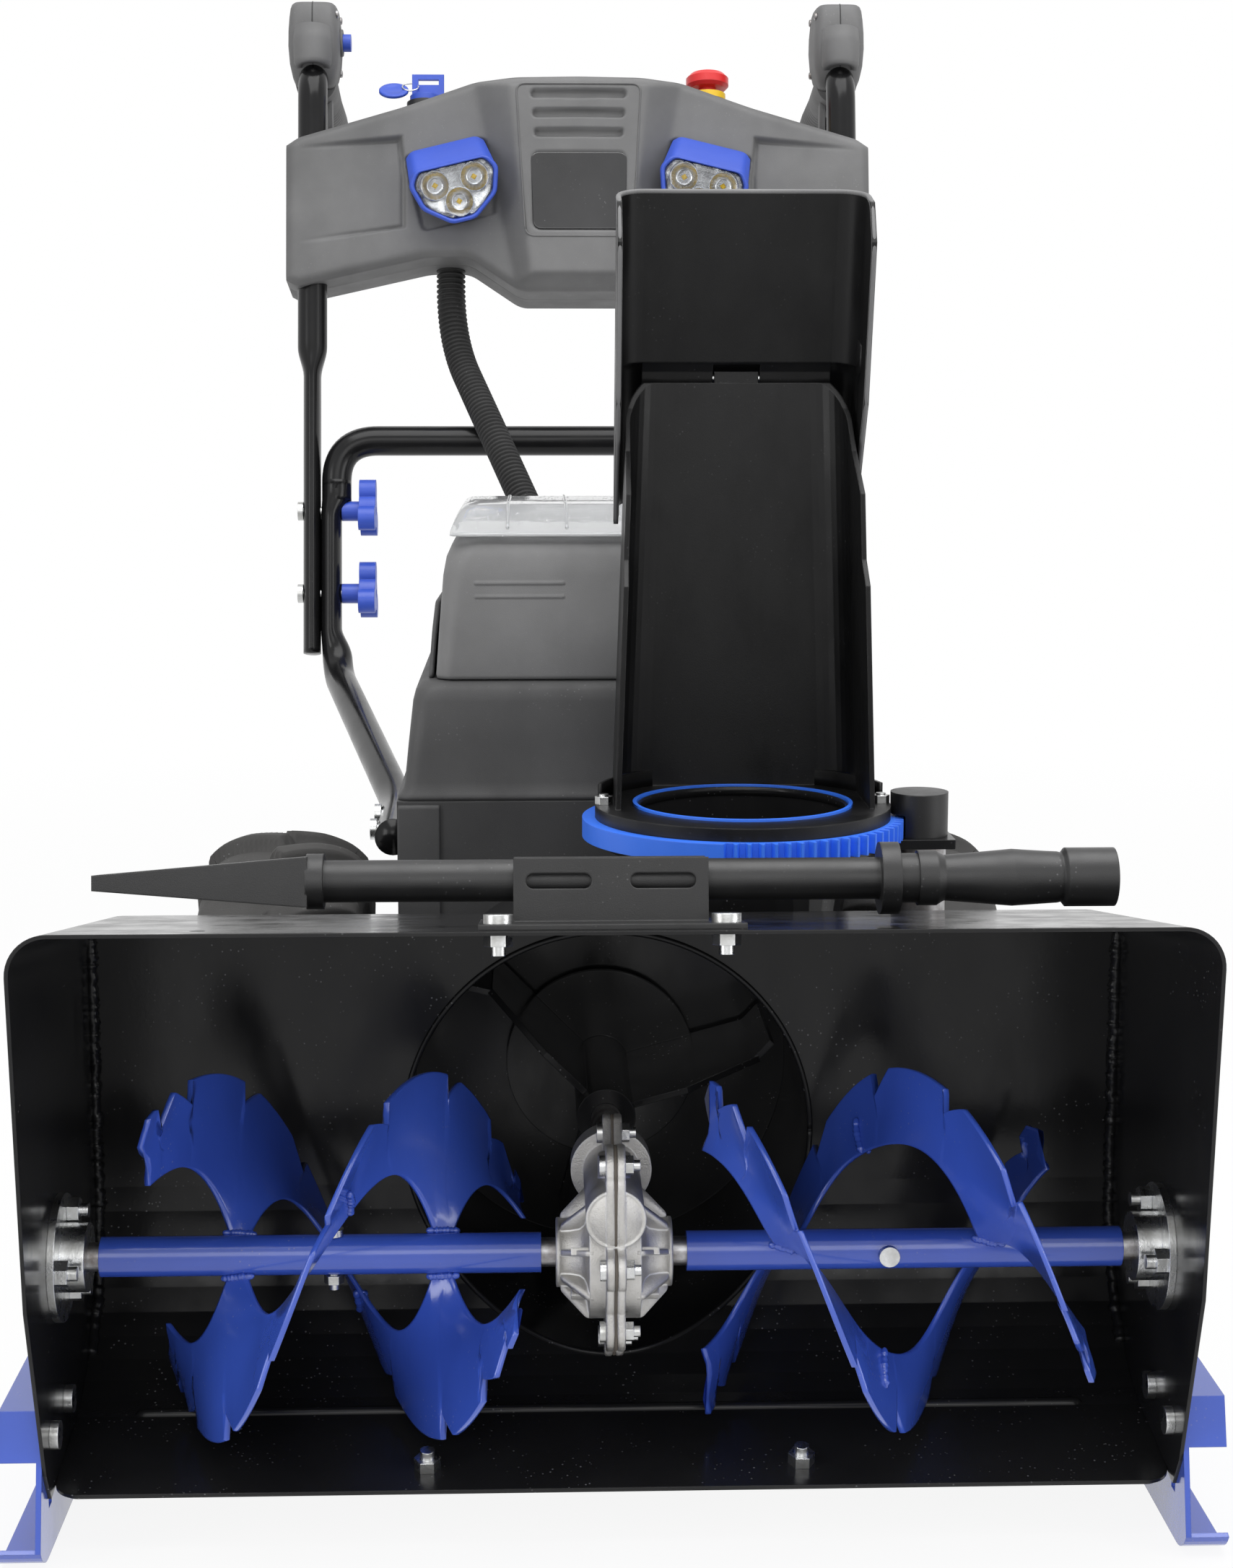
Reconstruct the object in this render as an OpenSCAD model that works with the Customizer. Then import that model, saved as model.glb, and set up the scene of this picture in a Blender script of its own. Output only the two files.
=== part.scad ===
// Two stage snowblower on two driven wheels, with a turning chute and a battery box.
// Millimetres, +Z up, +Y towards the operator. The origin is on the floor, in the middle of the machine.

/* [Overall] */
// Length from the bucket's front edge to the rear end of the grips
overall_l = 1400; // [1390:1:1420]
// Running gap between pieces that move past each other
run_gap = 0.3; // [0.25:0.05:0.4]
// Radial clearance of shafts and pins in their bores
fit_gap = 0.05; // [0.02:0.01:0.08]

/* [Bucket] */
// Outer width of the bucket
bucket_w = 613; // [606:1:618]
// Height of the bucket's front top edge
bucket_h = 356; // [354:1:358]
// Distance from the front edge to the back wall
bucket_depth = 224; // [222:1:226]
// Fall of the top sheet from its front edge to the back wall
top_drop = 38; // [37:1:42]
// Thickness of the bucket sheets
sheet_t = 2; // [1.6:0.1:2.2]
// Radius of the bucket's top corners
corner_r = 22; // [18:1:26]
// Overall width over the skid shoes
shoe_span = 660; // [654:1:670]
// Length of a skid shoe
shoe_l = 170; // [160:1:176]

/* [Auger] */
// Height of the auger shaft
auger_z = 153; // [152:1:154]
// Outer radius of the auger flights
auger_r = 100; // [97:1:101]
// Advance of a flight in one turn
auger_pitch = 240; // [230:1:250]
// Diameter of the auger tubes
auger_tube_d = 22; // [21:0.5:23]
// Diameter of the auger shaft
auger_shaft_d = 16; // [15:0.5:16.5]
// Depth of the notches in the flights' outer edges
notch_depth = 13; // [10:1:16]

/* [Impeller] */
// Inner radius of the impeller drum
drum_r = 122; // [121:1:123]
// Depth of the drum behind the bucket's back wall
drum_l = 166; // [164:1:167]
// Radius over the impeller blades
impeller_r = 116; // [112:1:118]
// Diameter of the impeller shaft
impeller_shaft_d = 18; // [17:0.5:18.5]

/* [Chute] */
// Sideways place of the chute's turning axis
chute_x = 87; // [85:1:88]
// Distance of the turning axis behind the bucket's front edge
chute_y = 314; // [312:1:315]
// Radius over the teeth of the chute ring
ring_r = 100; // [99:1:101]
// Outer width of the chute at its base
chute_w = 160; // [157:1:162]
// Outer width of the chute at its top
chute_top_w = 141; // [138:1:143]
// Height of the chute's top edge
chute_top = 627; // [615:1:640]
// Height of the deflector above the chute
deflector_h = 120; // [110:1:124]
// Wall thickness of the chute and the deflector
chute_t = 3; // [2.5:0.1:3.2]

/* [Wheels] */
// Outer diameter of the tyres
tyre_d = 324; // [318:1:328]
// Width of a tyre
tyre_w = 109; // [104:1:112]
// Distance between the middles of the tyres
track_w = 426; // [420:1:430]
// Distance of the axle behind the bucket's front edge
axle_y = 462; // [461:1:464]
// Diameter of the axle
axle_d = 18; // [17:0.5:18.5]

/* [Chassis and hood] */
// Width of the chassis box
chassis_w = 268; // [264:1:270]
// Length of the chassis box
chassis_l = 286; // [280:1:290]
// Height of the chassis box's top edge
chassis_top = 353; // [351:1:355]
// Height of the hood above the chassis box
hood_h = 78; // [74:1:82]
// Height of the battery lid's wall
lid_h = 94; // [91:1:98]
// Height of the clear window above the lid's wall
window_h = 19; // [17:1:22]

/* [Handle] */
// Diameter of the frame tubes
tube_d = 27; // [26:0.5:28]
// Half the spacing of the lower frame's upright runs
frame_x = 228; // [226:1:229]
// Height of the lower frame's cross run
cross_z = 576; // [570:1:582]
// Width of the console
console_w = 536; // [530:1:542]
// Lean of the handle from upright, in degrees
handle_lean = 12.6; // [12.2:0.2:13]
// Diameter of the emergency stop's head
estop_d = 40; // [38:1:42]
// Diameter over the conduit's ribs
conduit_d = 27; // [25:1:28]
// Pitch of the conduit's ribs
rib_pitch = 6.6; // [6.4:0.1:7]

/* [Hidden] */
$fn = 48;
eps = 0.01;

// Colours
black_paint = [0.07, 0.07, 0.08];
blue_paint = [0.10, 0.15, 0.60];
blue_plastic = [0.15, 0.25, 0.75];
grey_plastic = [0.20, 0.20, 0.21];
black_plastic = [0.12, 0.12, 0.13];
zinc = [0.75, 0.76, 0.78];
cast_metal = [0.70, 0.70, 0.68];
steel = [0.50, 0.50, 0.52];
rubber = [0.10, 0.10, 0.10];
clear = [0.80, 0.85, 0.90, 0.5];

// The modules measure distances back from the bucket's front edge, and this moves them into the frame
module machine() {
    translate([0, -overall_l / 2, 0]) children();
}

// Solid of a side outline, given as (back, up), from x0 across to x0 + w
module across(x0, w) {
    translate([x0, 0, 0]) rotate([90, 0, 90]) linear_extrude(w) children();
}

// Solid of a front outline, given as (right, up), from y0 back to y0 + l
module back_from(y0, l) {
    translate([0, y0 + l, 0]) rotate([90, 0, 0]) linear_extrude(l) children();
}

// Cylinder along X from x0
module rod_x(x0, l, r, y = 0, z = 0) {
    translate([x0, y, z]) rotate([0, 90, 0]) cylinder(r = r, h = l);
}

// Cylinder along Y from y0
module rod_y(y0, l, r, x = 0, z = 0) {
    translate([x, y0, z]) rotate([-90, 0, 0]) cylinder(r = r, h = l);
}

module both_sides() {
    children();
    mirror([1, 0, 0]) children();
}

// Bolt with a round head, washer face at z = 0, shank down through the grip and a nut below it
module bolt(d, grip, nut = true) {
    head_h = d * 0.6;
    cylinder(d = d * 1.9, h = head_h);
    translate([0, 0, -grip - d * 1.4]) cylinder(d = d, h = grip + d * 1.4);
    if (nut) translate([0, 0, -grip - d * 0.8]) cylinder(d = d * 1.85, h = d * 0.8, $fn = 6);
}

// Straight-flanked gear outline: n teeth of module m, thinned for backlash
function gear_points(n, m, add = 0.85, ded = 1.15, from = 0, to = 999) = [
    for (i = [0:n - 1])
        let (p = 360 / n, r0 = n * m / 2 - ded * m, r1 = (i >= from && i <= to) ? n * m / 2 + add * m : r0)
        for (k = [[r0, -0.27], [r1, -0.11], [r1, 0.11], [r0, 0.27]])
            k[0] * [cos((i + k[1]) * p), sin((i + k[1]) * p)]
];

// Vector helpers for bent tubes and hoses
function unit(v) = v / norm(v);
function bend_trim(p, i, r) =
    let (a = unit(p[i] - p[i - 1]), b = unit(p[i + 1] - p[i]), t = acos(a * b)) r * tan(t / 2);
function frame_z(o, z) =
    let (u = abs(z[2]) < 0.9 ? unit(cross([0, 0, 1], z)) : unit(cross([0, 1, 0], z)), v = cross(z, u))
    [[u[0], v[0], z[0], o[0]], [u[1], v[1], z[1], o[1]], [u[2], v[2], z[2], o[2]], [0, 0, 0, 1]];

module rod_between(a, b, r) {
    multmatrix(frame_z(a, unit(b - a))) cylinder(r = r, h = norm(b - a));
}

// Quarter-like elbow at corner i of route p, with bend radius br
module elbow(p, i, r, br) {
    a = unit(p[i] - p[i - 1]);
    b = unit(p[i + 1] - p[i]);
    turn = acos(a * b);
    n = unit(cross(a, b));
    start = p[i] - a * bend_trim(p, i, br);
    side = cross(n, a);
    c = start + side * br;
    multmatrix([[-side[0], a[0], n[0], c[0]], [-side[1], a[1], n[1], c[1]], [-side[2], a[2], n[2], c[2]],
                [0, 0, 0, 1]])
        rotate_extrude(angle = turn) translate([br, 0]) circle(r = r, $fn = 32);
}

// Round bar along route p with every corner bent at radius br.
// A thinner core runs from each straight a little way into the bends and joins them.
module bent_rod(p, r, br) {
    last = len(p) - 1;
    seam = 0.02;
    core = 3;
    for (i = [1:last]) {
        t0 = i > 1 ? bend_trim(p, i - 1, br) : 0;
        t1 = i < last ? bend_trim(p, i, br) : 0;
        d = unit(p[i] - p[i - 1]);
        rod_between(p[i - 1] + d * (t0 + (i > 1 ? seam : 0)), p[i] - d * (t1 + (i < last ? seam : 0)), r);
        rod_between(p[i - 1] + d * (t0 + (i > 1 ? -core : core)), p[i] - d * (t1 + (i < last ? -core : core)), r - 1);
    }
    for (i = [1:last - 1]) elbow(p, i, r, br);
}

// Bar of oval section, w across X and l along Y, standing from z0 to z1
module oval_bar(w, l) {
    translate([-w / 2, -(l - w) / 2]) square([w, l - w]);
    for (s = [-1, 1]) translate([0, s * (l - w) / 2]) circle(d = w);
}

// Places shared by neighbours
axis_drop = 32;
shaft_y = 102;
impeller_z = auger_z + axis_drop;
inner_x = bucket_w / 2 - sheet_t;
top_slope = atan(top_drop / bucket_depth);
arc_r = 110;
arc_y = bucket_depth - arc_r;
arc_end = -78;
lip_y = 60;
lip_z = 34;
lip_r = 14;
drum_back = bucket_depth + drum_l;
chassis_y = drum_back + 28;
wheel_z = tyre_d / 2;
wall = 3;

function top_z(y) = bucket_h - top_drop / bucket_depth * y;
arc_foot = [arc_y + arc_r * cos(arc_end), auger_z + arc_r * sin(arc_end)];
flat_pitch = atan2(arc_foot[1] - lip_z, arc_foot[0] - lip_y);

function flip(v) = [for (i = [len(v) - 1:-1:0]) v[i]];

// Line of the back and bottom sheet from its top edge down to the lip, g outside its inner face
function sheet_line(g) = concat(
    [[bucket_depth + g, top_z(bucket_depth + sheet_t) - sheet_t - 0.1]],
    [for (i = [0:10]) let (a = arc_end * i / 10) [arc_y + (arc_r + g) * cos(a), auger_z + (arc_r + g) * sin(a)]],
    [[lip_y + g * sin(flat_pitch), lip_z - g * cos(flat_pitch)]]);

// Frames on the sloping top sheet and on the sloping floor sheet
module on_top() {
    translate([0, 0, bucket_h]) rotate([-top_slope, 0, 0]) children();
}

module on_floor() {
    translate([0, lip_y, lip_z]) rotate([flat_pitch, 0, 0]) children();
}

// Front outline of the bent wrap, down from its top at zero, g inside its outer face
module wrap_outline(g) {
    half = bucket_w / 2 - g;
    r = corner_r - g;
    low = 480;
    translate([-half, -low]) square([2 * half, low - g - r]);
    translate([-half + r, -g - r - eps]) square([2 * (half - r), r + eps]);
    for (s = [-1, 1]) translate([s * (half - r), -g - r]) circle(r = r);
}

holder_x = -3;
holder_bolt_x = 58;
holder_bolt_y = 22;
bolt_d = 8;
scraper_x = 103;
scraper_bolt_y = 22;
scraper_t = 3;
shoe_bolts = [[66, 66], [108, 69]];
bearing_bolt_r = 26;
bearing_bolt_turns = [60, 180, 300];
bearing_plate_t = 4;
bearing_cup_l = 13;

module holder_bolt_places() {
    on_top() for (s = [-1, 1]) translate([holder_x + s * holder_bolt_x, holder_bolt_y, 0]) children();
}

module scraper_bolt_places() {
    on_floor() for (s = [-1, 1]) translate([s * scraper_x, scraper_bolt_y, 0]) children();
}

// Places on the side plates' outer faces, with z pointing out of the bucket
module shoe_bolt_places() {
    both_sides() for (p = shoe_bolts) translate([bucket_w / 2, p[0], p[1]]) rotate([0, 90, 0]) children();
}

module bearing_bolt_places() {
    both_sides() for (a = bearing_bolt_turns)
        translate([bucket_w / 2, shaft_y + bearing_bolt_r * cos(a), auger_z + bearing_bolt_r * sin(a)])
            rotate([0, 90, 0]) children();
}

module bolt_hole(l) {
    translate([0, 0, -l]) cylinder(d = bolt_d + 2 * fit_gap, h = 2 * l);
}

// Left side, top and right side of the bucket, bent from one sheet
module bucket_wrap() {
    front_mid = 16;
    color(black_paint) machine() difference() {
        intersection() {
            on_top() translate([0, -60, 0]) back_from(0, 400) difference() {
                wrap_outline(0);
                wrap_outline(sheet_t);
            }
            across(-bucket_w, 2 * bucket_w) polygon(concat(
                [[0, bucket_h + 40], [0, bucket_h], [front_mid, auger_z], [44, 66], [49, 50]],
                flip(sheet_line(sheet_t)), [[bucket_depth + sheet_t, bucket_h + 40]]));
        }
        holder_bolt_places() bolt_hole(20);
        shoe_bolt_places() bolt_hole(20);
        bearing_bolt_places() bolt_hole(20);
        on_top() translate([-214, 30, 0]) bolt_hole(20);
    }
}

// Back wall and floor, curved round the auger, with the mouth of the drum
module bucket_back() {
    color(black_paint) machine() difference() {
        intersection() {
            across(-inner_x, 2 * inner_x) polygon(concat(sheet_line(0), flip(sheet_line(sheet_t))));
            on_top() translate([0, -60, 0]) back_from(0, 400) wrap_outline(sheet_t);
        }
        rod_y(shaft_y, drum_l, drum_r, 0, impeller_z);
        both_sides() on_floor() translate([inner_x - lip_r, lip_r, -10]) difference() {
            translate([0, -2 * lip_r, 0]) cube([2 * lip_r, 2 * lip_r, 20]);
            translate([0, 0, -1]) cylinder(r = lip_r, h = 22);
        }
        scraper_bolt_places() bolt_hole(20);
    }
}

// Outlet neck from the drum up to the chute ring
ring_z = 348;
ring_t = 12;
collar_t = 2.5;
neck_r = 66;
flange_t = 6;
flange_r = 86;
neck_top = ring_z + 16;
ring_n = 78;
pinion_teeth = 10;
mesh_gap = 0.3;
ring_module = ring_r / (ring_n / 2 + 0.85);
chute_pinion_x = chute_x + (ring_n + pinion_teeth) * ring_module / 2 + mesh_gap;
pinion_shaft_r = 4;

module neck_form(g) {
    hull() {
        translate([chute_x, chute_y, ring_z - 30]) cylinder(r = neck_r - g, h = 12, $fn = 32);
        translate([24 + g, chute_y - 62 + g, impeller_z + 12]) cube([96 - 2 * g, 124 - 2 * g, 2]);
    }
}

// Drum round the impeller, with its outlet neck, the chute's turning flange and the motor plate
module impeller_drum() {
    plate_half = 20;
    boss_r = 42;
    neck_z = ring_z - run_gap;
    color(black_paint) machine() difference() {
        union() {
            rod_y(shaft_y, drum_back - shaft_y, drum_r + sheet_t, 0, impeller_z);
            rod_y(drum_back - eps, chassis_y - drum_back + eps, boss_r, 0, impeller_z);
            neck_form(0);
            translate([chute_x, chute_y, ring_z - 20]) cylinder(r = neck_r, h = neck_top - ring_z + 20);
            translate([chute_x, chute_y, neck_z - flange_t]) cylinder(r = flange_r, h = flange_t);
            translate([chute_x + 40, chute_y - plate_half, neck_z - flange_t])
                cube([chute_pinion_x - chute_x - 20, 2 * plate_half, flange_t]);
        }
        rod_y(shaft_y - 1, drum_back - sheet_t - shaft_y + 1, drum_r, 0, impeller_z);
        neck_form(sheet_t);
        translate([chute_x, chute_y, ring_z - 32]) cylinder(r = neck_r - sheet_t, h = 80);
        across(-drum_r - 20, 2 * drum_r + 40) polygon(concat(
            [[0, bucket_h], [bucket_depth + sheet_t, bucket_h]], sheet_line(sheet_t), [[0, 0]]));
        rod_y(shaft_y, 400, impeller_shaft_d / 2 + fit_gap, 0, impeller_z);
        translate([chute_pinion_x, chute_y, 0]) cylinder(r = pinion_shaft_r + fit_gap, h = 500);
    }
}

// Scraper bar under the floor's front edge
module scraper_bar() {
    set_back = 4;
    bar_w = 46;
    r = 8;
    color(black_paint) machine() difference() {
        on_floor() translate([0, set_back, -sheet_t - scraper_t]) linear_extrude(scraper_t) {
            translate([-inner_x + 5 + r, 0]) square([2 * (inner_x - 5 - r), bar_w]);
            translate([-inner_x + 5, r]) square([2 * (inner_x - 5), bar_w - r]);
            for (s = [-1, 1]) translate([s * (inner_x - 5 - r), r]) circle(r = r);
        }
        scraper_bolt_places() bolt_hole(20);
    }
}

// Bolts and nuts of the scraper, the shoes, the bearings, the tool holder and the gearbox
module housing_bolts() {
    color(zinc) machine() {
        scraper_bolt_places() translate([0, 0, -sheet_t - scraper_t]) rotate([180, 0, 0])
            bolt(bolt_d, sheet_t + scraper_t);
        shoe_bolt_places() translate([0, 0, -sheet_t]) rotate([180, 0, 0]) bolt(bolt_d, sheet_t + shoe_t);
        bearing_bolt_places() bolt(bolt_d, sheet_t + bearing_plate_t);
        holder_bolt_places() translate([0, 0, holder_t]) bolt(bolt_d, sheet_t + holder_t);
        for (p = gearbox_screws) translate([-gear_flange_t, shaft_y + p[0], auger_z + p[1]]) rotate([0, -90, 0])
            bolt(6, 2 * gear_flange_t);
    }
}

// Reversible skid shoes: an upright web with its flanges turned outward
shoe_t = 3;
module skid_shoe() {
    web_x = bucket_w / 2;
    reach = shoe_span / 2 - web_x;
    front = 34;
    top = 84;
    tip = 22;
    sole = [for (i = [0:6]) let (a = 270 - 62 * i / 6) [front + tip + tip * cos(a), tip + tip * sin(a)]];
    sole_in = [for (i = [0:6]) let (a = 270 - 62 * i / 6, r = tip - shoe_t) [front + tip + r * cos(a), tip + r * sin(a)]];
    back = front + shoe_l;
    difference() {
        union() {
            across(web_x, reach) polygon(concat([[back, 0]], sole, flip(sole_in), [[back, shoe_t]]));
            across(web_x, shoe_t) polygon(concat([[back, 0]], sole, [[front + 14, top - 26], [front + 22, top],
                [back - 16, top], [back, top - 16]]));
            across(web_x, reach) polygon([[front + 14, top - 26], [front + 22, top], [back - 16, top],
                [back - 16, top - shoe_t], [front + 24, top - shoe_t], [front + 17, top - 26]]);
        }
        for (p = shoe_bolts) {
            translate([web_x, p[0], p[1]]) rotate([0, 90, 0]) bolt_hole(20);
            across(web_x - 1, shoe_t + 2) translate([p[0] - bolt_d / 2, 26]) square([bolt_d, 22]);
        }
    }
}

module skid_shoes() {
    color(blue_paint) machine() both_sides() skid_shoe();
}

// Pressed bearing flanges that carry the ends of the auger shaft
module auger_bearings() {
    plate_r = 35;
    cup_r = 19;
    color(zinc) machine() difference() {
        both_sides() {
            rod_x(inner_x - bearing_plate_t, bearing_plate_t, plate_r, shaft_y, auger_z);
            rod_x(inner_x - bearing_plate_t - bearing_cup_l, bearing_cup_l + eps, cup_r, shaft_y, auger_z);
        }
        rod_x(-inner_x - 1, 2 * inner_x + 2, auger_shaft_d / 2 + fit_gap, shaft_y, auger_z);
        bearing_bolt_places() bolt_hole(30);
    }
}

// Clip on the top sheet that holds the clean-out tool
holder_t = 3;
tool_r = 11;
tool_y = 60;
tool_z = 24;
module tool_holder() {
    width = 101;
    ear = 120;
    wall_h = 36;
    gap = tool_r + 1;
    slot_w = 34;
    slot_h = 8;
    color(black_plastic) machine() difference() {
        on_top() {
            translate([holder_x - ear / 2 - 8, 12, 0]) cube([ear + 16, 66, holder_t]);
            for (s = [-1, 1]) translate([holder_x - width / 2, tool_y + s * (gap + 2) - 2, 0])
                cube([width, 4, wall_h]);
            for (i = [-1, 0, 1]) translate([holder_x + i * 38 - 3, tool_y - gap - 1, 0])
                cube([6, 2 * gap + 2, tool_z - tool_r - run_gap]);
        }
        on_top() for (s = [-1, 1]) translate([holder_x + s * 27, 0, tool_z]) back_from(0, 120)
            rotate(90) oval_bar(slot_h, slot_w);
        holder_bolt_places() bolt_hole(20);
    }
}

// Clean-out tool: wedge blade, round shaft, guard and swelling grip
module cleanout_tool() {
    color(black_plastic) machine() on_top() translate([0, tool_y, tool_z]) {
        hull() {
            translate([-271, -10, -4]) cube([2, 20, 8]);
            translate([-162, -13, -13]) cube([2, 26, 26]);
        }
        rod_x(-161, 9, 14.5);
        rod_x(-153, 292, tool_r);
        rod_x(138, 10, 19);
        rotate([0, 90, 0]) translate([0, 0, 148]) rotate_extrude() polygon([[0, 0], [13, 0], [13, 10], [14.5, 10],
            [14.5, 20], [12, 24], [15, 60], [13.5, 84], [13, 86], [15.5, 88], [15.5, 114], [0, 114]]);
    }
}
// Gearbox: cast halves bolted at the middle plane, round the worm and its wheel
gear_flange_t = 5;
gearbox_screws = [[-44, 5], [44, 5], [-32, -34], [32, -34], [0, -49], [-28, 58], [32, 58]];
worm_teeth = 20;
worm_r = 10;
worm_wave = 2;
wheel_r = axis_drop - worm_r;
worm_pitch = 2 * PI * wheel_r / worm_teeth;
worm_turns = 4;
worm_l = worm_turns * worm_pitch;
journal_r = 7;

module gearbox_half() {
    housing_r = 36;
    boss_r = 17.5;
    tunnel_r = 16;
    front = shaft_y - 40;
    rear = shaft_y + 46;
    difference() {
        union() {
            rod_x(0, 14, housing_r, shaft_y, auger_z);
            rod_x(14 - eps, 18, boss_r, shaft_y, auger_z);
            for (a = [20, 160, 215, 325]) translate([14 - eps, shaft_y, auger_z]) rotate([a, 0, 0])
                translate([0, 0, -2]) cube([10, housing_r - 6, 4]);
            intersection() {
                union() {
                    rod_y(front, rear - front, tunnel_r, 0, impeller_z);
                    rod_y(rear - eps, 16, 23, 0, impeller_z);
                    translate([0, shaft_y - 8, impeller_z]) cylinder(r = 9, h = 26);
                }
                cube([60, 300, 300]);
            }
            across(0, gear_flange_t) {
                translate([shaft_y, auger_z]) circle(r = 42);
                translate([front, impeller_z - 22]) square([rear - front, 44]);
                for (p = gearbox_screws) translate([shaft_y + p[0], auger_z + p[1]]) circle(r = 9);
            }
        }
        rod_x(-1, 9, wheel_r + 3, shaft_y, auger_z);
        rod_x(-1, 40, auger_shaft_d / 2 + fit_gap, shaft_y, auger_z);
        rod_y(shaft_y - worm_l / 2 - 1, worm_l + 2, worm_r + worm_wave + 1, 0, impeller_z);
        rod_y(front + 5, 40, journal_r + fit_gap, 0, impeller_z);
        rod_y(shaft_y, 100, impeller_shaft_d / 2 + fit_gap, 0, impeller_z);
        for (p = gearbox_screws) rod_x(-1, 20, 3 + fit_gap, shaft_y + p[0], auger_z + p[1]);
    }
}

module gearbox_left() {
    color(cast_metal) machine() mirror([1, 0, 0]) gearbox_half();
}

module gearbox_right() {
    color(cast_metal) machine() gearbox_half();
}

// Auger shaft, drilled for the shear bolts
shear_left_x = -154;
shear_right_x = 151;
shear_d = 6;
tube_start = 40;
tube_play = 6.5;
tube_end = inner_x - bearing_plate_t - bearing_cup_l - tube_play;

module shear_holes(r) {
    translate([shear_left_x, shaft_y, auger_z - 50]) cylinder(r = r, h = 100);
    rod_y(shaft_y - 50, 100, r, shear_right_x, auger_z);
}

module auger_shaft() {
    color(steel) machine() difference() {
        rod_x(-inner_x + run_gap, 2 * (inner_x - run_gap), auger_shaft_d / 2, shaft_y, auger_z);
        shear_holes(shear_d / 2 + fit_gap);
    }
}

module auger_tubes() {
    color(blue_paint) machine() difference() {
        both_sides() rod_x(tube_start, tube_end - tube_start, auger_tube_d / 2, shaft_y, auger_z);
        rod_x(-inner_x, 2 * inner_x, auger_shaft_d / 2 + fit_gap, shaft_y, auger_z);
        shear_holes(shear_d / 2 + fit_gap);
    }
}

module shear_bolts() {
    top = auger_tube_d / 2 + 0.2;
    color(zinc) machine() {
        translate([shear_left_x, shaft_y, auger_z + top]) bolt(shear_d, 2 * top);
        translate([shear_right_x, shaft_y - top, auger_z]) rotate([90, 0, 0]) bolt(shear_d, 2 * top);
    }
}

// Worm wheel on the auger shaft, with one rounded tooth for each turn of the worm
module worm_wheel() {
    width = 8;
    tooth_wave = 1.4;
    mean_r = wheel_r - 1;
    steps = worm_teeth * 8;
    rim = [for (i = [0:steps - 1]) let (a = 360 * i / steps, r = mean_r + tooth_wave * cos(worm_teeth * (a - 90)))
        [r * cos(a), r * sin(a)]];
    color([0.72, 0.55, 0.25]) machine() difference() {
        translate([0, shaft_y, auger_z]) across(-width / 2, width) polygon(rim);
        rod_x(-width, 2 * width, auger_shaft_d / 2 + fit_gap, shaft_y, auger_z);
    }
}

// Ribbon flight: a helical strip whose inner edge dips to the tube at two arms
// and whose outer edge is notched. It starts next to the gearbox and runs outward.
flight_x0 = 50;
flight_sweep = 300;
flight_steps = 60;
flight_t = 3;
ribbon_r = 53;
arm_places = [0.22, 0.78];
arm_half = 0.15;
notch_steps = [2, 6, 30, 54, 58];

function arm_dip(t) = max([for (a = arm_places) abs(t - a) < arm_half ? pow(cos(90 * (t - a) / arm_half), 2) : 0]);
function flight_inner(t) = ribbon_r - (ribbon_r - auger_tube_d / 2 - run_gap) * arm_dip(t);
function flight_outer(i) = auger_r - (len(search(i, notch_steps)) > 0 ? notch_depth : 0);

module flight(start) {
    rows = [for (i = [0:flight_steps])
        let (t = i / flight_steps, a = start + flight_sweep * t,
             x = flight_x0 + auger_pitch * flight_sweep / 360 * t, r0 = flight_inner(t), r1 = flight_outer(i))
        for (q = [[-1, r0], [1, r0], [1, r1], [-1, r1]])
            [x + q[0] * flight_t / 2, q[1] * cos(a), q[1] * sin(a)]];
    faces = concat([[0, 1, 2], [0, 2, 3]],
        [for (i = [0:flight_steps - 1], k = [0:3]) let (a = 4 * i + k, b = 4 * i + (k + 1) % 4) each
            [[a, a + 4, b + 4], [a, b + 4, b]]],
        let (e = 4 * flight_steps) [[e + 2, e + 1, e], [e + 3, e + 2, e]]);
    translate([0, shaft_y, auger_z]) polyhedron(rows, faces);
}

module flights_left() {
    color(blue_paint) machine() mirror([1, 0, 0]) for (a = [0, 180]) flight(a);
}

module flights_right() {
    color(blue_paint) machine() for (a = [90, 270]) flight(a);
}

// Worm: a round section set off its axis by the thread's wave and turned once for each thread
module worm() {
    sides = 16;
    rows = 8 * worm_turns;
    points = [for (i = [0:rows], k = [0:sides - 1])
        let (turn = 360 * worm_turns * i / rows, a = 360 * k / sides)
        [worm_wave * sin(turn) + worm_r * cos(a), worm_l * i / rows, worm_wave * cos(turn) - worm_r * sin(a)]];
    front_cap = [for (k = [0:sides - 1]) k];
    rear_cap = [for (k = [0:sides - 1]) (rows + 1) * sides - 1 - k];
    polyhedron(points, concat(tube_faces(rows + 1, sides, 0), [front_cap, rear_cap]));
}

// Impeller shaft with the worm at its front end
pulley_y = chassis_y + wall + 4;
pulley_w = 18;
module impeller_shaft() {
    worm_y = shaft_y - worm_l / 2;
    worm_end = worm_y + worm_l;
    front = shaft_y - 34;
    color(steel) machine() {
        rod_y(front, worm_end - front + 5, journal_r, 0, impeller_z);
        translate([0, worm_y, impeller_z]) worm();
        rod_y(worm_end + 1, pulley_y + pulley_w - worm_end - 1, impeller_shaft_d / 2, 0, impeller_z);
    }
}

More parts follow.
